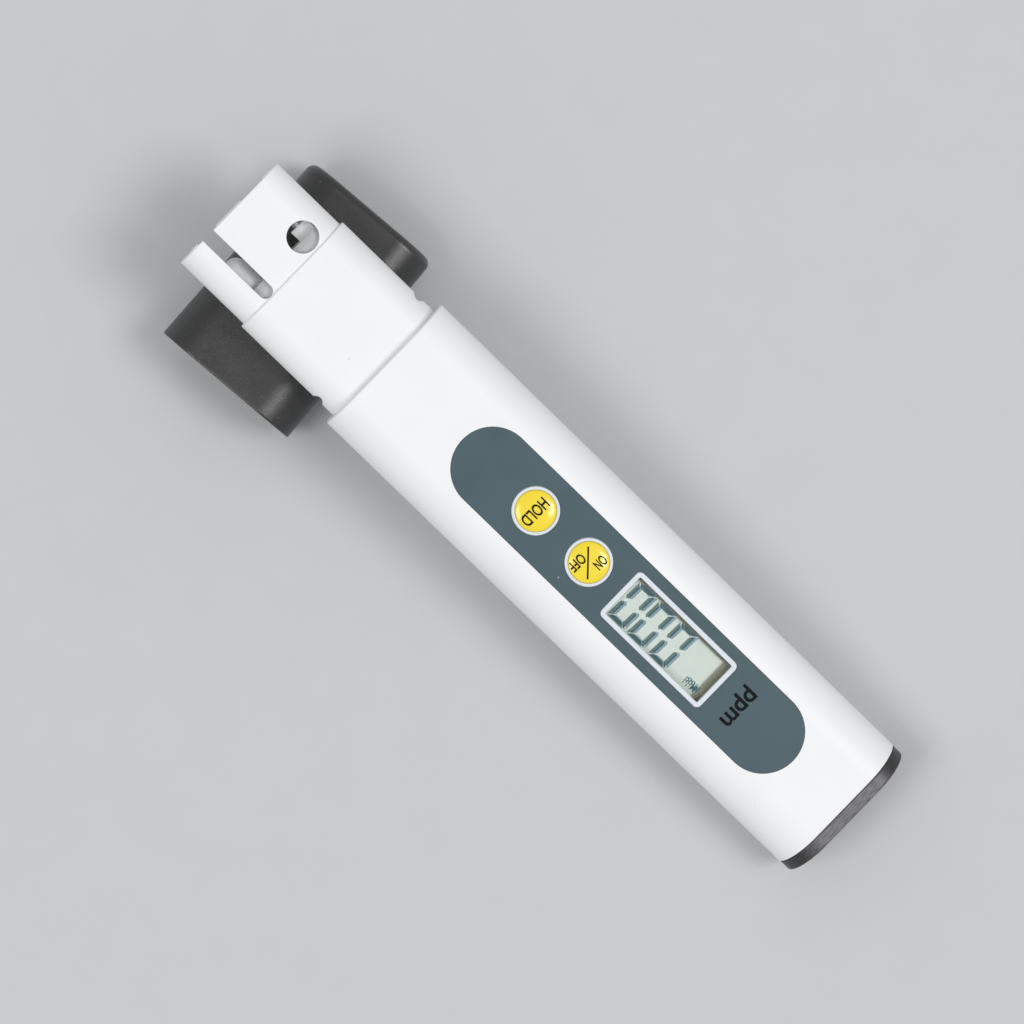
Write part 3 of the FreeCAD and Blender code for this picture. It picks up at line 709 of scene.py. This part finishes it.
class METER_OT_case(bpy.types.Operator):
    """Models the white case with its label recess, rims, window and holes"""
    bl_idname = "meter.case"
    bl_label = "Case"

    def execute(self, context):
        chosen = sizes()
        low, high = span("body_shell")
        length = high.x
        width = high.y - low.y
        thickness = -2 * low.z
        case = tube("case", 0, length, width, thickness)
        open_faces(case, lambda centre, normal: abs(normal.x) > 0.9)
        bpy.ops.mesh.inset(thickness=chosen.wall)
        bpy.ops.mesh.bridge_edge_loops()
        close_mesh()
        round_outline(case, 0, width, thickness, chosen.shoulder_rounding, 4)
        round_outline(case, length, width, thickness, chosen.shoulder_rounding, 4)
        arch_end(case, length - 3 * MM, width, thickness, chosen.end_arch)
        self.cut_face(case, thickness / 2 + chosen.rim_height)
        self.add_ribs(case, width - 2 * chosen.wall)
        soften(case, 0.06 * MM)
        fit_to_meter(case, MATERIALS["case"], "meter", "case_white", "body_shell")
        self.tint_rims(case)
        return {"FINISHED"}

    def tint_rims(self, case):
        """Gives the rims inside the label their own cooler white."""
        case.data.materials.append(MATERIALS["rim"])
        low, _ = span("keypad_label")
        start = button_places()[0] - 6 * MM
        end = span("display_window")[1].x + 2 * MM
        for face in case.data.polygons:
            place = LEVEL @ face.center
            if start < place.x < end and abs(place.y) < 5.6 * MM and place.z > low.z + 0.05 * MM:
                face.material_index = 1

    def cut_face(self, case, rim_top):
        """Recess for the label, rims, window with its ledge, button holes and the hole over the trimmer."""
        chosen = sizes()
        label_low, label_high = span("keypad_label")
        label = middle_of("keypad_label")
        margin = 0.04 * MM
        length = label_high.x - label_low.x + 2 * margin
        width = label_high.y - label_low.y + 2 * margin
        above = rim_top + 2 * MM
        recess = plate("recess", label.x, length, width, width / 2, label_low.z, above, 40)
        combine(case, "DIFFERENCE", recess)

        lens = middle_of("display_window")
        lens_size = size_of("display_window")
        ledge = 0.7 * MM
        window_length = lens_size.x - 2 * ledge
        window_width = lens_size.y - 2 * ledge
        base = label_low.z - 0.2 * MM
        rim_corner = 1.0 * MM
        rim_edge = 0.14 * MM
        window_corner = 0.3 * MM
        ledge_corner = 1.4 * MM
        rims = [plate("display_rim", lens.x, window_length + 2 * chosen.rim_width,
                      window_width + 2 * chosen.rim_width, rim_corner, base, rim_top)]
        hole = chosen.button_hole
        for x in button_places():
            rims.append(post("button_rim", x, 0, hole + 2 * chosen.ring_width, base, rim_top))
        for rim in rims:
            open_edges(rim, lambda a, b: min(a.z, b.z) > rim_top - 1e-6)
            bpy.ops.mesh.bevel(offset=rim_edge, segments=3, profile=0.5)
            close_mesh()
        combine(case, "UNION", *rims)

        cutters = [plate("window", lens.x, window_length, window_width, window_corner, 0, above)]
        lens_high = span("display_window")[1]
        cutters.append(plate("ledge", lens.x, lens_size.x + 0.2 * MM, lens_size.y + 0.2 * MM, ledge_corner, 0,
                             lens_high.z + 0.1 * MM))
        for x in button_places():
            cutters.append(post("button_hole", x, 0, hole, 0, above))
        trimmer = middle_of("calibration_screw")
        cutters.append(post("trimmer_hole", trimmer.x, 0, 3.2 * MM, -OVER, -4 * MM, 40))
        combine(case, "DIFFERENCE", *cutters)

    def add_ribs(self, case, bore_width):
        """Rails for the circuit board and runners for the battery tray, inside the walls."""
        board_low, board_high = span("circuit_board")
        tray_low, _ = span("battery_tray")
        gap = 0.1 * MM
        rail_height = 0.9 * MM
        runner_end = 105.0 * MM
        runner_foot = -6.7 * MM
        runner_half = 0.6 * MM
        ribs = []
        for side in (-1, 1):
            near = side * (board_high.y - 0.8 * MM)
            far = side * (bore_width / 2 + 0.2 * MM)
            for low in (board_high.z + gap, board_low.z - gap - rail_height):
                reach = far if low > board_low.z else side * (bore_width / 2 - 0.3 * MM)
                ribs.append(block("rail", (board_low.x, min(near, reach), low),
                                  (board_high.x, max(near, reach), low + rail_height)))
            middle = side * 4.0 * MM
            ribs.append(block("runner", (tray_low.x, middle - runner_half, runner_foot),
                              (runner_end, middle + runner_half, tray_low.z - gap)))
        join(case, *ribs)


class METER_OT_probe_head(bpy.types.Operator):
    """Models the neck with the slotted shroud in front of it"""
    bl_idname = "meter.probe_head"
    bl_label = "Probe head"

    def execute(self, context):
        chosen = sizes()
        low, high = span("probe_head")
        width = high.y - low.y
        thickness = high.z - low.z
        step = low.x + chosen.shroud_length
        inset = 0.6 * MM
        head = tube("probe_head_shell", step, high.x, width, thickness)
        open_faces(head, lambda centre, normal: normal.x < -0.9)
        bpy.ops.mesh.inset(thickness=inset)
        extrude(x=-chosen.shroud_length)
        bpy.ops.mesh.inset(thickness=chosen.shroud_wall)
        close_mesh()
        open_faces(head, lambda centre, normal: normal.x > 0.9)
        bpy.ops.mesh.inset(thickness=chosen.shroud_wall + inset)
        close_mesh()
        open_faces(head, lambda centre, normal: abs(normal.x) > 0.9 and math.hypot(centre.y, centre.z) < 1e-5
                   and not low.x + 1e-5 < centre.x < high.x - 1e-5)
        bpy.ops.mesh.bridge_edge_loops()
        close_mesh()
        round_outline(head, low.x, width - 2 * inset, thickness - 2 * inset, 0.25 * MM, 3)
        round_outline(head, step, width, thickness, 0.25 * MM, 3)
        combine(head, "DIFFERENCE", *self.openings(low.x, step, width / 2))
        soften(head, 0.05 * MM)
        fit_to_meter(head, MATERIALS["probe"], "meter", "case_white", "probe_head")
        return {"FINISHED"}

    def openings(self, tip, step, half_width):
        """Slots of both walls, the sight hole and the notches for the cap."""
        front_slot = (-5.3 * MM, 2.6 * MM, 0, OVER)
        rear_slots = ((-5.4 * MM, 4.5 * MM, -OVER, 0), (5.65 * MM, 5.4 * MM, -OVER, 0))
        shy = 0.12 * MM
        cutters = []
        for y, width, low, high in (front_slot, *rear_slots):
            end = step - width / 2 - shy
            cutters.append(block("slot", (tip - OVER, y - width / 2, low), (end, y + width / 2, high)))
            cutters.append(post("slot_end", end, y, width, low, high, 48))
        cutters.append(post("sight_hole", step - 3.3 * MM, 5.9 * MM, 5.7 * MM, 0, OVER))
        for side in (-1, 1):
            y = side * (half_width + 0.5 * MM)
            cutters.append(post("notch", NOTCH_PLACE, y, NOTCH_DIAMETER, -OVER, OVER, 40))
        return cutters


class METER_OT_label(bpy.types.Operator):
    """Models the slate film in the recess and its print"""
    bl_idname = "meter.label"
    bl_label = "Keypad label"

    def execute(self, context):
        chosen = sizes()
        low, high = span("keypad_label")
        centre = middle_of("keypad_label")
        width = high.y - low.y
        label = plate("label_film", centre.x, high.x - low.x, width, width / 2, low.z, high.z, 40)
        lens_size = size_of("display_window")
        grow = 2 * (chosen.rim_width + 0.1 * MM - 0.7 * MM)
        above = high.z + MM
        cutters = [plate("cut", middle_of("display_window").x, lens_size.x + grow, lens_size.y + grow, 1.1 * MM,
                         0, above)]
        ring = chosen.button_hole + 0.2 * MM + 2 * chosen.ring_width
        for x in button_places():
            cutters.append(post("cut", x, 0, ring, 0, above))
        combine(label, "DIFFERENCE", *cutters)
        soften(label, 0.05 * MM)
        fit_to_meter(label, MATERIALS["label"], "meter", "label_slate", "keypad_label")

        place = (middle_of("display_window").x + 16.6 * MM, 0, high.z + 0.012 * MM)
        unit = lettering("unit_print", "ppm", place, 7.6 * MM, 3.3 * MM, -90, 0.022)
        fit_to_meter(unit, MATERIALS["label ink"], "meter", "label_slate")
        return {"FINISHED"}


def lettering(name, text, place, width, height, turn, thin=0.0):
    """Flat letters of a given width and height, centred on a place and turned about Z in degrees."""
    deselect()
    bpy.ops.object.text_add(location=(0, 0, 0))
    words = bpy.context.active_object
    words.data.body = text
    words.data.resolution_u = 6
    words.data.offset = thin
    bpy.ops.object.convert(target="MESH")
    words = bpy.context.active_object
    words.name = name
    words.data.name = name
    bpy.ops.object.origin_set(type="ORIGIN_GEOMETRY", center="BOUNDS")
    words.scale = (width / words.dimensions.x, height / words.dimensions.y, 1)
    words.rotation_euler = (0, 0, math.radians(turn))
    words.location = place
    settle(words)
    return words


class METER_OT_buttons(bpy.types.Operator):
    """Models the two domed buttons and their letters"""
    bl_idname = "meter.buttons"
    bl_label = "Buttons"

    def execute(self, context):
        height = sizes().letter_height
        hold_x, power_x = button_places()
        hold = self.button("hold_key_cap", hold_x, span("hold_button"))
        power = self.button("power_key_cap", power_x, span("power_button"))
        small = height * 0.86
        weight = 0.02
        hold_place = (hold_x, -0.27 * MM, 0)
        hold_words = [lettering("hold_word", "HOLD", hold_place, 5.5 * MM, height, -90, weight)]
        on_place = (power_x + 1.39 * MM, 1.39 * MM, 0)
        off_place = (power_x - 1.47 * MM, -1.46 * MM, 0)
        power_words = [lettering("on_word", "ON", on_place, 2.2 * MM, small, -90, weight),
                       lettering("off_word", "OFF", off_place, 3.15 * MM, small, -90, weight),
                       self.slash(power_x)]
        self.lay_on(hold, hold_words, "hold_letters", "hold_key")
        self.lay_on(power, power_words, "power_letters", "power_key")
        fit_to_meter(hold, MATERIALS["button"], "hold_key", "button_yellow", "hold_button")
        fit_to_meter(power, MATERIALS["button"], "power_key", "button_yellow", "power_button")
        return {"FINISHED"}

    def button(self, name, x, corners):
        """Flange under the wall, stem through it, and a dome raised ring by ring."""
        low, high = corners
        chosen = sizes()
        radius = chosen.button_hole / 2 - chosen.button_gap
        crown = chosen.button_crown
        edge = high.z - crown
        flange = (high.y - low.y) / 2
        piece = post(name, x, 0, 2 * flange, low.z, low.z + 0.7 * MM, 96)
        open_faces(piece, lambda centre, normal: normal.z > 0.9)
        bpy.ops.mesh.inset(thickness=flange - radius)
        extrude(z=edge - low.z - 0.7 * MM)
        rings = 12
        for ring in range(1, rings):
            bpy.ops.mesh.inset(thickness=radius / rings)
            outer = 1 - (ring - 1) / rings
            inner = 1 - ring / rings
            bpy.ops.transform.translate(value=(0, 0, crown * (outer ** 4 - inner ** 4)))
        close_mesh()
        open_edges(piece, lambda a, b: min(a.z, b.z) > edge - 1e-6 and max(a.z, b.z) < edge + 1e-6)
        bpy.ops.mesh.bevel(offset=chosen.button_shoulder, segments=6, profile=0.5)
        close_mesh()
        pick(piece)
        bpy.ops.object.shade_smooth_by_angle(angle=math.radians(40))
        return piece

    def slash(self, x):
        """Stroke between the two words of the power button."""
        stroke = block("slash", (-0.15 * MM, -2.85 * MM, 0), (0.15 * MM, 2.85 * MM, 0.01 * MM))
        open_faces(stroke, lambda centre, normal: normal.z < 0.5)
        bpy.ops.mesh.delete(type="FACE")
        close_mesh()
        stroke.rotation_euler = (0, 0, math.radians(43.2))
        stroke.location = (x - 0.1 * MM, -0.2 * MM, 0)
        settle(stroke)
        return stroke

    def lay_on(self, button, words, name, body):
        """Joins letters, divides them finely and lays them on the dome."""
        letters = words[0]
        join(letters, *words[1:])
        letters.name = name
        letters.data.name = name
        low, high = Vector(letters.bound_box[0]), Vector(letters.bound_box[6])
        open_faces(letters, lambda centre, normal: True)
        for axis in (0, 1):
            count = 16
            for cut in range(1, count):
                point = [0.0, 0.0, 0.0]
                point[axis] = low[axis] + (high[axis] - low[axis]) * cut / count
                normal = [0.0, 0.0, 0.0]
                normal[axis] = 1.0
                bpy.ops.mesh.select_all(action="SELECT")
                bpy.ops.mesh.bisect(plane_co=point, plane_no=normal)
        close_mesh()
        letters.location.z = 20 * MM
        settle(letters)
        wrap = letters.modifiers.new("lay", "SHRINKWRAP")
        wrap.wrap_method = "PROJECT"
        wrap.use_project_z = True
        wrap.use_negative_direction = True
        wrap.use_positive_direction = False
        wrap.wrap_mode = "ON_SURFACE"
        wrap.target = button
        pick(letters)
        bpy.ops.object.modifier_apply(modifier=wrap.name)
        letters.location.z = 0.025 * MM
        settle(letters)
        fit_to_meter(letters, MATERIALS["key ink"], body, "button_yellow")


class METER_OT_display(bpy.types.Operator):
    """Models the digits of the display and finishes its window"""
    bl_idname = "meter.display"
    bl_label = "Display"

    def execute(self, context):
        chosen = sizes()
        paint(frame["nodes"]["display_window"], MATERIALS["lens"])
        paint(frame["nodes"]["display_glass"], MATERIALS["ground"])
        window = middle_of("display_window").x
        top = span("display_glass")[1].z
        first_digit = -8.25 * MM
        unit_place = (window + 8.84 * MM, -2.75 * MM, 0)
        shadow_shift = (-0.46 * MM, -0.23 * MM)
        first = self.digit()
        digits = [first]
        for number in range(1, chosen.digit_count):
            pick(first)
            bpy.ops.object.duplicate()
            digits.append(bpy.context.active_object)
        for number, digit in enumerate(digits):
            room = chosen.point_room if number == chosen.digit_count - 1 else 0
            digit.location = (window + first_digit + chosen.digit_pitch * number + room, 0, 0)
            settle(digit)
        unit = lettering("display_unit", "PPM", unit_place, 2.7 * MM, 1.52 * MM, 0, 0.006)
        join(first, *digits[1:], unit)
        shown = first
        shown.name = "display_digits"
        shown.data.name = "display_digits"
        pick(shown)
        bpy.ops.object.duplicate()
        shadows = bpy.context.active_object
        shadows.name = "display_digit_shadows"
        shadows.data.name = "display_digit_shadows"
        shown.location = (0, 0, top + 0.012 * MM)
        settle(shown)
        shadows.location = (*shadow_shift, top + 0.03 * MM)
        settle(shadows)
        fit_to_meter(shown, MATERIALS["segments"], "meter", "display_grey")
        fit_to_meter(shadows, MATERIALS["segment shadows"], "meter", "display_grey")
        return {"FINISHED"}

    def digit(self):
        """Zero of six segments, pointed where the strokes meet at half height."""
        chosen = sizes()
        deselect()
        bpy.ops.mesh.primitive_plane_add(size=1, location=(0, 0, 0))
        bpy.context.active_object.scale = (chosen.digit_width, chosen.digit_height, 1)
        piece = named("digit")
        open_faces(piece, lambda centre, normal: True)
        bpy.ops.mesh.inset(thickness=chosen.digit_stroke)
        bpy.ops.mesh.delete(type="FACE")
        bpy.ops.mesh.select_all(action="SELECT")
        bpy.ops.mesh.bisect(plane_co=(0, 0, 0), plane_no=(0, 1, 0))
        bpy.ops.mesh.select_all(action="SELECT")
        bpy.ops.mesh.inset(thickness=chosen.digit_gap / 2, use_individual=True)
        bpy.ops.mesh.select_all(action="INVERT")
        bpy.ops.mesh.delete(type="FACE")
        close_mesh()
        for side in (-1, 1):
            self.open_rows(piece, lambda y: 0 < y * side < 0.3 * MM)
            bpy.ops.transform.translate(value=(0, side * 0.2 * MM, 0))
            bpy.ops.mesh.bevel(offset=(chosen.digit_stroke - chosen.digit_gap) * 0.48, affect="VERTICES")
            close_mesh()
        self.lean(piece)
        return piece

    def open_rows(self, piece, chosen):
        """Opens a flat piece with the points selected whose height passes the test."""
        open_mesh(piece, "VERT")
        for vertex in piece.data.vertices:
            vertex.select = chosen(vertex.co.y)
        bpy.ops.object.mode_set(mode="EDIT")

    def lean(self, piece):
        """Leans a digit row by row."""
        for row in sorted({round(vertex.co.y, 7) for vertex in piece.data.vertices}):
            self.open_rows(piece, lambda y: abs(y - row) < 2e-7)
            bpy.ops.transform.translate(value=(sizes().digit_lean * row, 0, 0))
            close_mesh()


class METER_OT_battery_cap(bpy.types.Operator):
    """Models the black end of the case with its skirt"""
    bl_idname = "meter.battery_cap"
    bl_label = "Battery cap"

    def execute(self, context):
        low, high = span("battery_cap")
        width = high.y - low.y
        thickness = high.z - low.z
        seam = 0.1 * MM
        plate_start = span("body_shell")[1].x + seam
        inset = 1.65 * MM
        cap = tube("battery_end", plate_start, high.x, width, thickness)
        round_outline(cap, high.x, width, thickness, 0.5 * MM, 6)
        open_faces(cap, lambda centre, normal: normal.x < -0.9)
        bpy.ops.mesh.inset(thickness=inset)
        extrude(x=low.x - plate_start)
        bpy.ops.mesh.inset(thickness=1.2 * MM)
        extrude(x=plate_start - low.x - seam)
        close_mesh()
        round_outline(cap, plate_start, width, thickness, 0.12 * MM, 2)
        arch_end(cap, plate_start - 0.5 * MM, width, thickness, sizes().end_arch)
        soften(cap, 0.0)
        fit_to_meter(cap, MATERIALS["battery cap"], "battery_drawer", "cap_black", "battery_cap")
        return {"FINISHED"}


class METER_OT_protective_cap(bpy.types.Operator):
    """Models the loose black cap with its stepped hollow"""
    bl_idname = "meter.protective_cap"
    bl_label = "Protective cap"

    def execute(self, context):
        width = size_of("body_shell").y
        thickness = -2 * span("body_shell")[0].z
        length = 40.0 * MM
        draft = 0.55 * MM
        lip = 0.5 * MM
        wall = 1.55 * MM
        neck_room = 22.2 * MM
        shroud_room = 15.6 * MM
        cap = tube("cap_shell", -lip, 0, width, thickness)
        open_faces(cap, lambda centre, normal: normal.x < -0.9)
        bpy.ops.mesh.inset(thickness=draft, depth=length - lip)
        close_mesh()
        open_faces(cap, lambda centre, normal: normal.x > 0.9)
        bpy.ops.mesh.inset(thickness=wall)
        extrude(x=-neck_room)
        bpy.ops.mesh.inset(thickness=0.6 * MM)
        extrude(x=-shroud_room)
        close_mesh()
        round_outline(cap, -length, width - 2 * draft, thickness - 2 * draft, 1.6 * MM, 10)
        round_outline(cap, 0, width, thickness, 0.25 * MM, 3)
        join(cap, *self.snap_bumps(width / 2 - wall))
        soften(cap, 0.0)
        self.lay_down(cap, math.atan2(draft, length))
        hand_over(cap, MATERIALS["cap"], "cap", "cap_black", "protective_cap")
        return {"FINISHED"}

    def snap_bumps(self, room):
        """Two bumps that click into the notches of the neck."""
        bumps = []
        for side in (-1, 1):
            bump = post("bump", NOTCH_PLACE, side * (room + 0.7 * MM), NOTCH_DIAMETER, -NOTCH_DIAMETER / 2,
                        NOTCH_DIAMETER / 2, 40)
            open_faces(bump, lambda centre, normal: True)
            bpy.ops.mesh.bisect(plane_co=(0, side * (room + 0.8 * MM), 0), plane_no=(0, side, 0),
                                clear_outer=True, use_fill=True)
            close_mesh()
            bumps.append(bump)
        return bumps

    def lay_down(self, cap, draft_angle):
        """Lays the cap flat on its drafted side, where the frame has it."""
        along = joint_axis("cap_slide")
        yaw = math.atan2(along.y, along.x)
        cap.matrix_world = Matrix.Rotation(yaw, 4, "Z") @ Matrix.Rotation(-draft_angle, 4, "Y")
        settle(cap)
        low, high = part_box("protective_cap")
        points = [vertex.co for vertex in cap.data.vertices]
        for axis in range(3):
            own = (min(point[axis] for point in points) + max(point[axis] for point in points)) / 2
            cap.location[axis] = (low[axis] + high[axis]) / 2 - own
        settle(cap)


class METER_OT_inner_parts(bpy.types.Operator):
    """Finishes the parts inside the case, the sensors and the batteries"""
    bl_idname = "meter.inner_parts"
    bl_label = "Inner parts"

    def execute(self, context):
        finishes = {
            "probe_core": "core", "probe_seal": "rubber", "electrode_pins": "electrode", "thermistor": "bead",
            "display_holder": "holder", "contact_strip": "strip", "circuit_board": "board",
            "controller_chip": "resin", "calibration_trimmer": "trimmer", "calibration_screw": "brass",
            "hold_switch_housing": "resin", "power_switch_housing": "resin", "hold_switch_plunger": "holder",
            "power_switch_plunger": "holder", "battery_contacts": "spring", "battery_tray": "tray",
            "button_cells": "cell", "cell_link": "spring",
        }
        for node, finish in finishes.items():
            paint(frame["nodes"][node], MATERIALS[finish])
        return {"FINISHED"}


class METER_OT_stage(bpy.types.Operator):
    """Sets the floor, the light and the camera"""
    bl_idname = "meter.stage"
    bl_label = "Stage"

    def execute(self, context):
        light = context.scene.studio_light
        deselect()
        bpy.ops.mesh.primitive_plane_add(size=6, location=(0, 0, -0.00002))
        floor = named("floor")
        paint(floor, MATERIALS["floor"])

        world = context.scene.world or bpy.data.worlds.new("Studio")
        context.scene.world = world
        world.use_nodes = True
        sky = world.node_tree.nodes["Background"]
        sky.inputs["Color"].default_value = (0.98, 0.99, 1.0, 1.0)
        sky.inputs["Strength"].default_value = light.sky

        for name, towards, power in (("key_light", Vector((0.55, 0.42, 1.0)), light.key_power),
                                     ("fill_light", Vector((-0.25, -0.55, 1.0)), light.fill_power)):
            towards.normalize()
            deselect()
            bpy.ops.object.light_add(type="AREA", location=towards * light.distance)
            lamp = context.active_object
            lamp.name = name
            lamp.data.shape = "SQUARE"
            lamp.data.size = light.softness
            lamp.data.energy = power
            lamp.rotation_euler = towards.to_track_quat("Z", "Y").to_euler()
            lamp.visible_camera = False

        deselect()
        bpy.ops.object.camera_add(location=(-4.13 * MM, -0.75 * MM, light.camera_height),
                                  rotation=(0, 0, light.camera_turn))
        camera = context.active_object
        camera.name = "camera"
        camera.data.lens = light.focal_length
        camera.data.sensor_width = 36
        camera.data.clip_start = 0.01
        context.scene.camera = camera
        context.scene.view_settings.view_transform = "Standard"
        return {"FINISHED"}


MATERIALS = {}


def mix_materials():
    """Makes every material of the meter."""
    chosen = colours()
    case = tuple(chosen.case)
    cap = tuple(chosen.cap)
    lens = size_of("display_window")
    MATERIALS.update({
        "case": moulded("Housing plastic", case, 0.44, 5200.0, 3e-6, 0.012, 0.05, scuff=0.10, specular=0.4),
        "probe": moulded("Probe plastic", case, 0.40, 5200.0, 2e-6, 0.012, 0.03, scuff=0.10, specular=0.4),
        "rim": moulded("Rim plastic", tuple(chosen.rim), 0.28, 6000.0, 2e-6, 0.012, 0.02),
        "core": core_plastic("Core plastic", case),
        "label": moulded("Label film", tuple(chosen.label), 0.42, 9000.0, 2e-6, 0.05, 0.10, (0.35, 0.38, 0.40)),
        "button": moulded("Button plastic", tuple(chosen.button), 0.26, 3000.0, 1e-6, 0.02, 0.02, coat=0.5,
                          coat_roughness=0.1),
        "cap": moulded("Cap plastic", shade(cap, 0.6), 0.31, 6000.0, 4e-5, 0.3, 0.25, (0.10, 0.10, 0.11),
                        specular=1.0),
        "battery cap": reflection_painted_end("Battery cap plastic", cap),
        "tray": moulded("Tray plastic", (0.018, 0.018, 0.02), 0.42, 3000.0, 8e-6, 0.2, 0.1, (0.08, 0.08, 0.08)),
        "holder": moulded("Holder plastic", (0.62, 0.63, 0.62), 0.4, 4000.0, 5e-6, 0.03, 0.05),
        "rubber": moulded("Seal rubber", (0.055, 0.057, 0.06), 0.62, 2500.0, 1e-5, 0.15, 0.15, (0.2, 0.2, 0.2)),
        "resin": moulded("Black resin", (0.014, 0.014, 0.015), 0.28, 1800.0, 2e-5, 0.2, 0.1, (0.1, 0.1, 0.1)),
        "trimmer": moulded("Trimmer plastic", (0.03, 0.12, 0.48), 0.35, 3500.0, 5e-6, 0.08, 0.05),
        "bead": moulded("Glass bead", (0.42, 0.13, 0.07), 0.12, 2500.0, 3e-6, 0.15, 0.02, coat=0.8),
        "electrode": metal("Electrode metal", (0.72, 0.72, 0.72), 0.26, 5000.0),
        "cell": metal("Cell steel", (0.72, 0.72, 0.71), 0.24, 3500.0, tarnish=0.15),
        "spring": metal("Spring plate", (0.80, 0.68, 0.42), 0.27, 4500.0),
        "brass": metal("Screw brass", (0.78, 0.60, 0.30), 0.3, 6000.0),
        "board": board_lacquer("Board lacquer", (0.02, 0.16, 0.05)),
        "strip": striped_rubber("Contact strip"),
        "lens": clear_lens("Clear lens"),
        "ground": display_ground("Display ground", tuple(chosen.display), tuple(chosen.display_shadow),
                                 lens.x - 1.4 * MM, lens.y - 1.4 * MM),
        "segments": printed("Display segments", tuple(chosen.segments), 0.35, 0.45, 0.0),
        "segment shadows": printed("Segment shadows", tuple(chosen.segment_shadows), 0.35, 0.6, 0.0),
        "key ink": printed("Key ink", tuple(chosen.ink), 0.5),
        "label ink": printed("Label ink", (0.002, 0.004, 0.005), 0.5),
        "floor": moulded("Floor paper", tuple(chosen.floor), 0.85, 900.0, 1e-5, 0.01, 0.0, scuff=0.0),
    })


class METER_PT_builder(bpy.types.Panel):
    """Lists the pieces of the water tester"""
    bl_idname = "METER_PT_builder"
    bl_label = "Water tester"
    bl_space_type = "VIEW_3D"
    bl_region_type = "UI"
    bl_category = "Water tester"

    def draw(self, context):
        layout = self.layout
        for step in PIECES:
            layout.operator(step.bl_idname)
        for group in (context.scene.meter_sizes, context.scene.meter_colours, context.scene.studio_light):
            box = layout.box()
            for name in group.bl_rna.properties.keys():
                if name not in ("rna_type", "name"):
                    box.prop(group, name)


PIECES = (METER_OT_case, METER_OT_probe_head, METER_OT_label, METER_OT_buttons, METER_OT_display,
          METER_OT_battery_cap, METER_OT_protective_cap, METER_OT_inner_parts, METER_OT_stage)
CLASSES = (MeterSizes, MeterColours, StudioLight) + PIECES + (METER_PT_builder,)


def register():
    for cls in CLASSES:
        bpy.utils.register_class(cls)
    bpy.types.Scene.meter_sizes = PointerProperty(type=MeterSizes)
    bpy.types.Scene.meter_colours = PointerProperty(type=MeterColours)
    bpy.types.Scene.studio_light = PointerProperty(type=StudioLight)


def unregister():
    del bpy.types.Scene.studio_light
    del bpy.types.Scene.meter_colours
    del bpy.types.Scene.meter_sizes
    for cls in reversed(CLASSES):
        bpy.utils.unregister_class(cls)


def main():
    """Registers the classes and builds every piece."""
    register()
    mix_materials()
    bpy.ops.meter.case()
    bpy.ops.meter.probe_head()
    bpy.ops.meter.label()
    bpy.ops.meter.buttons()
    bpy.ops.meter.display()
    bpy.ops.meter.battery_cap()
    bpy.ops.meter.protective_cap()
    bpy.ops.meter.inner_parts()
    bpy.ops.meter.stage()


if __name__ == "__main__":
    main()
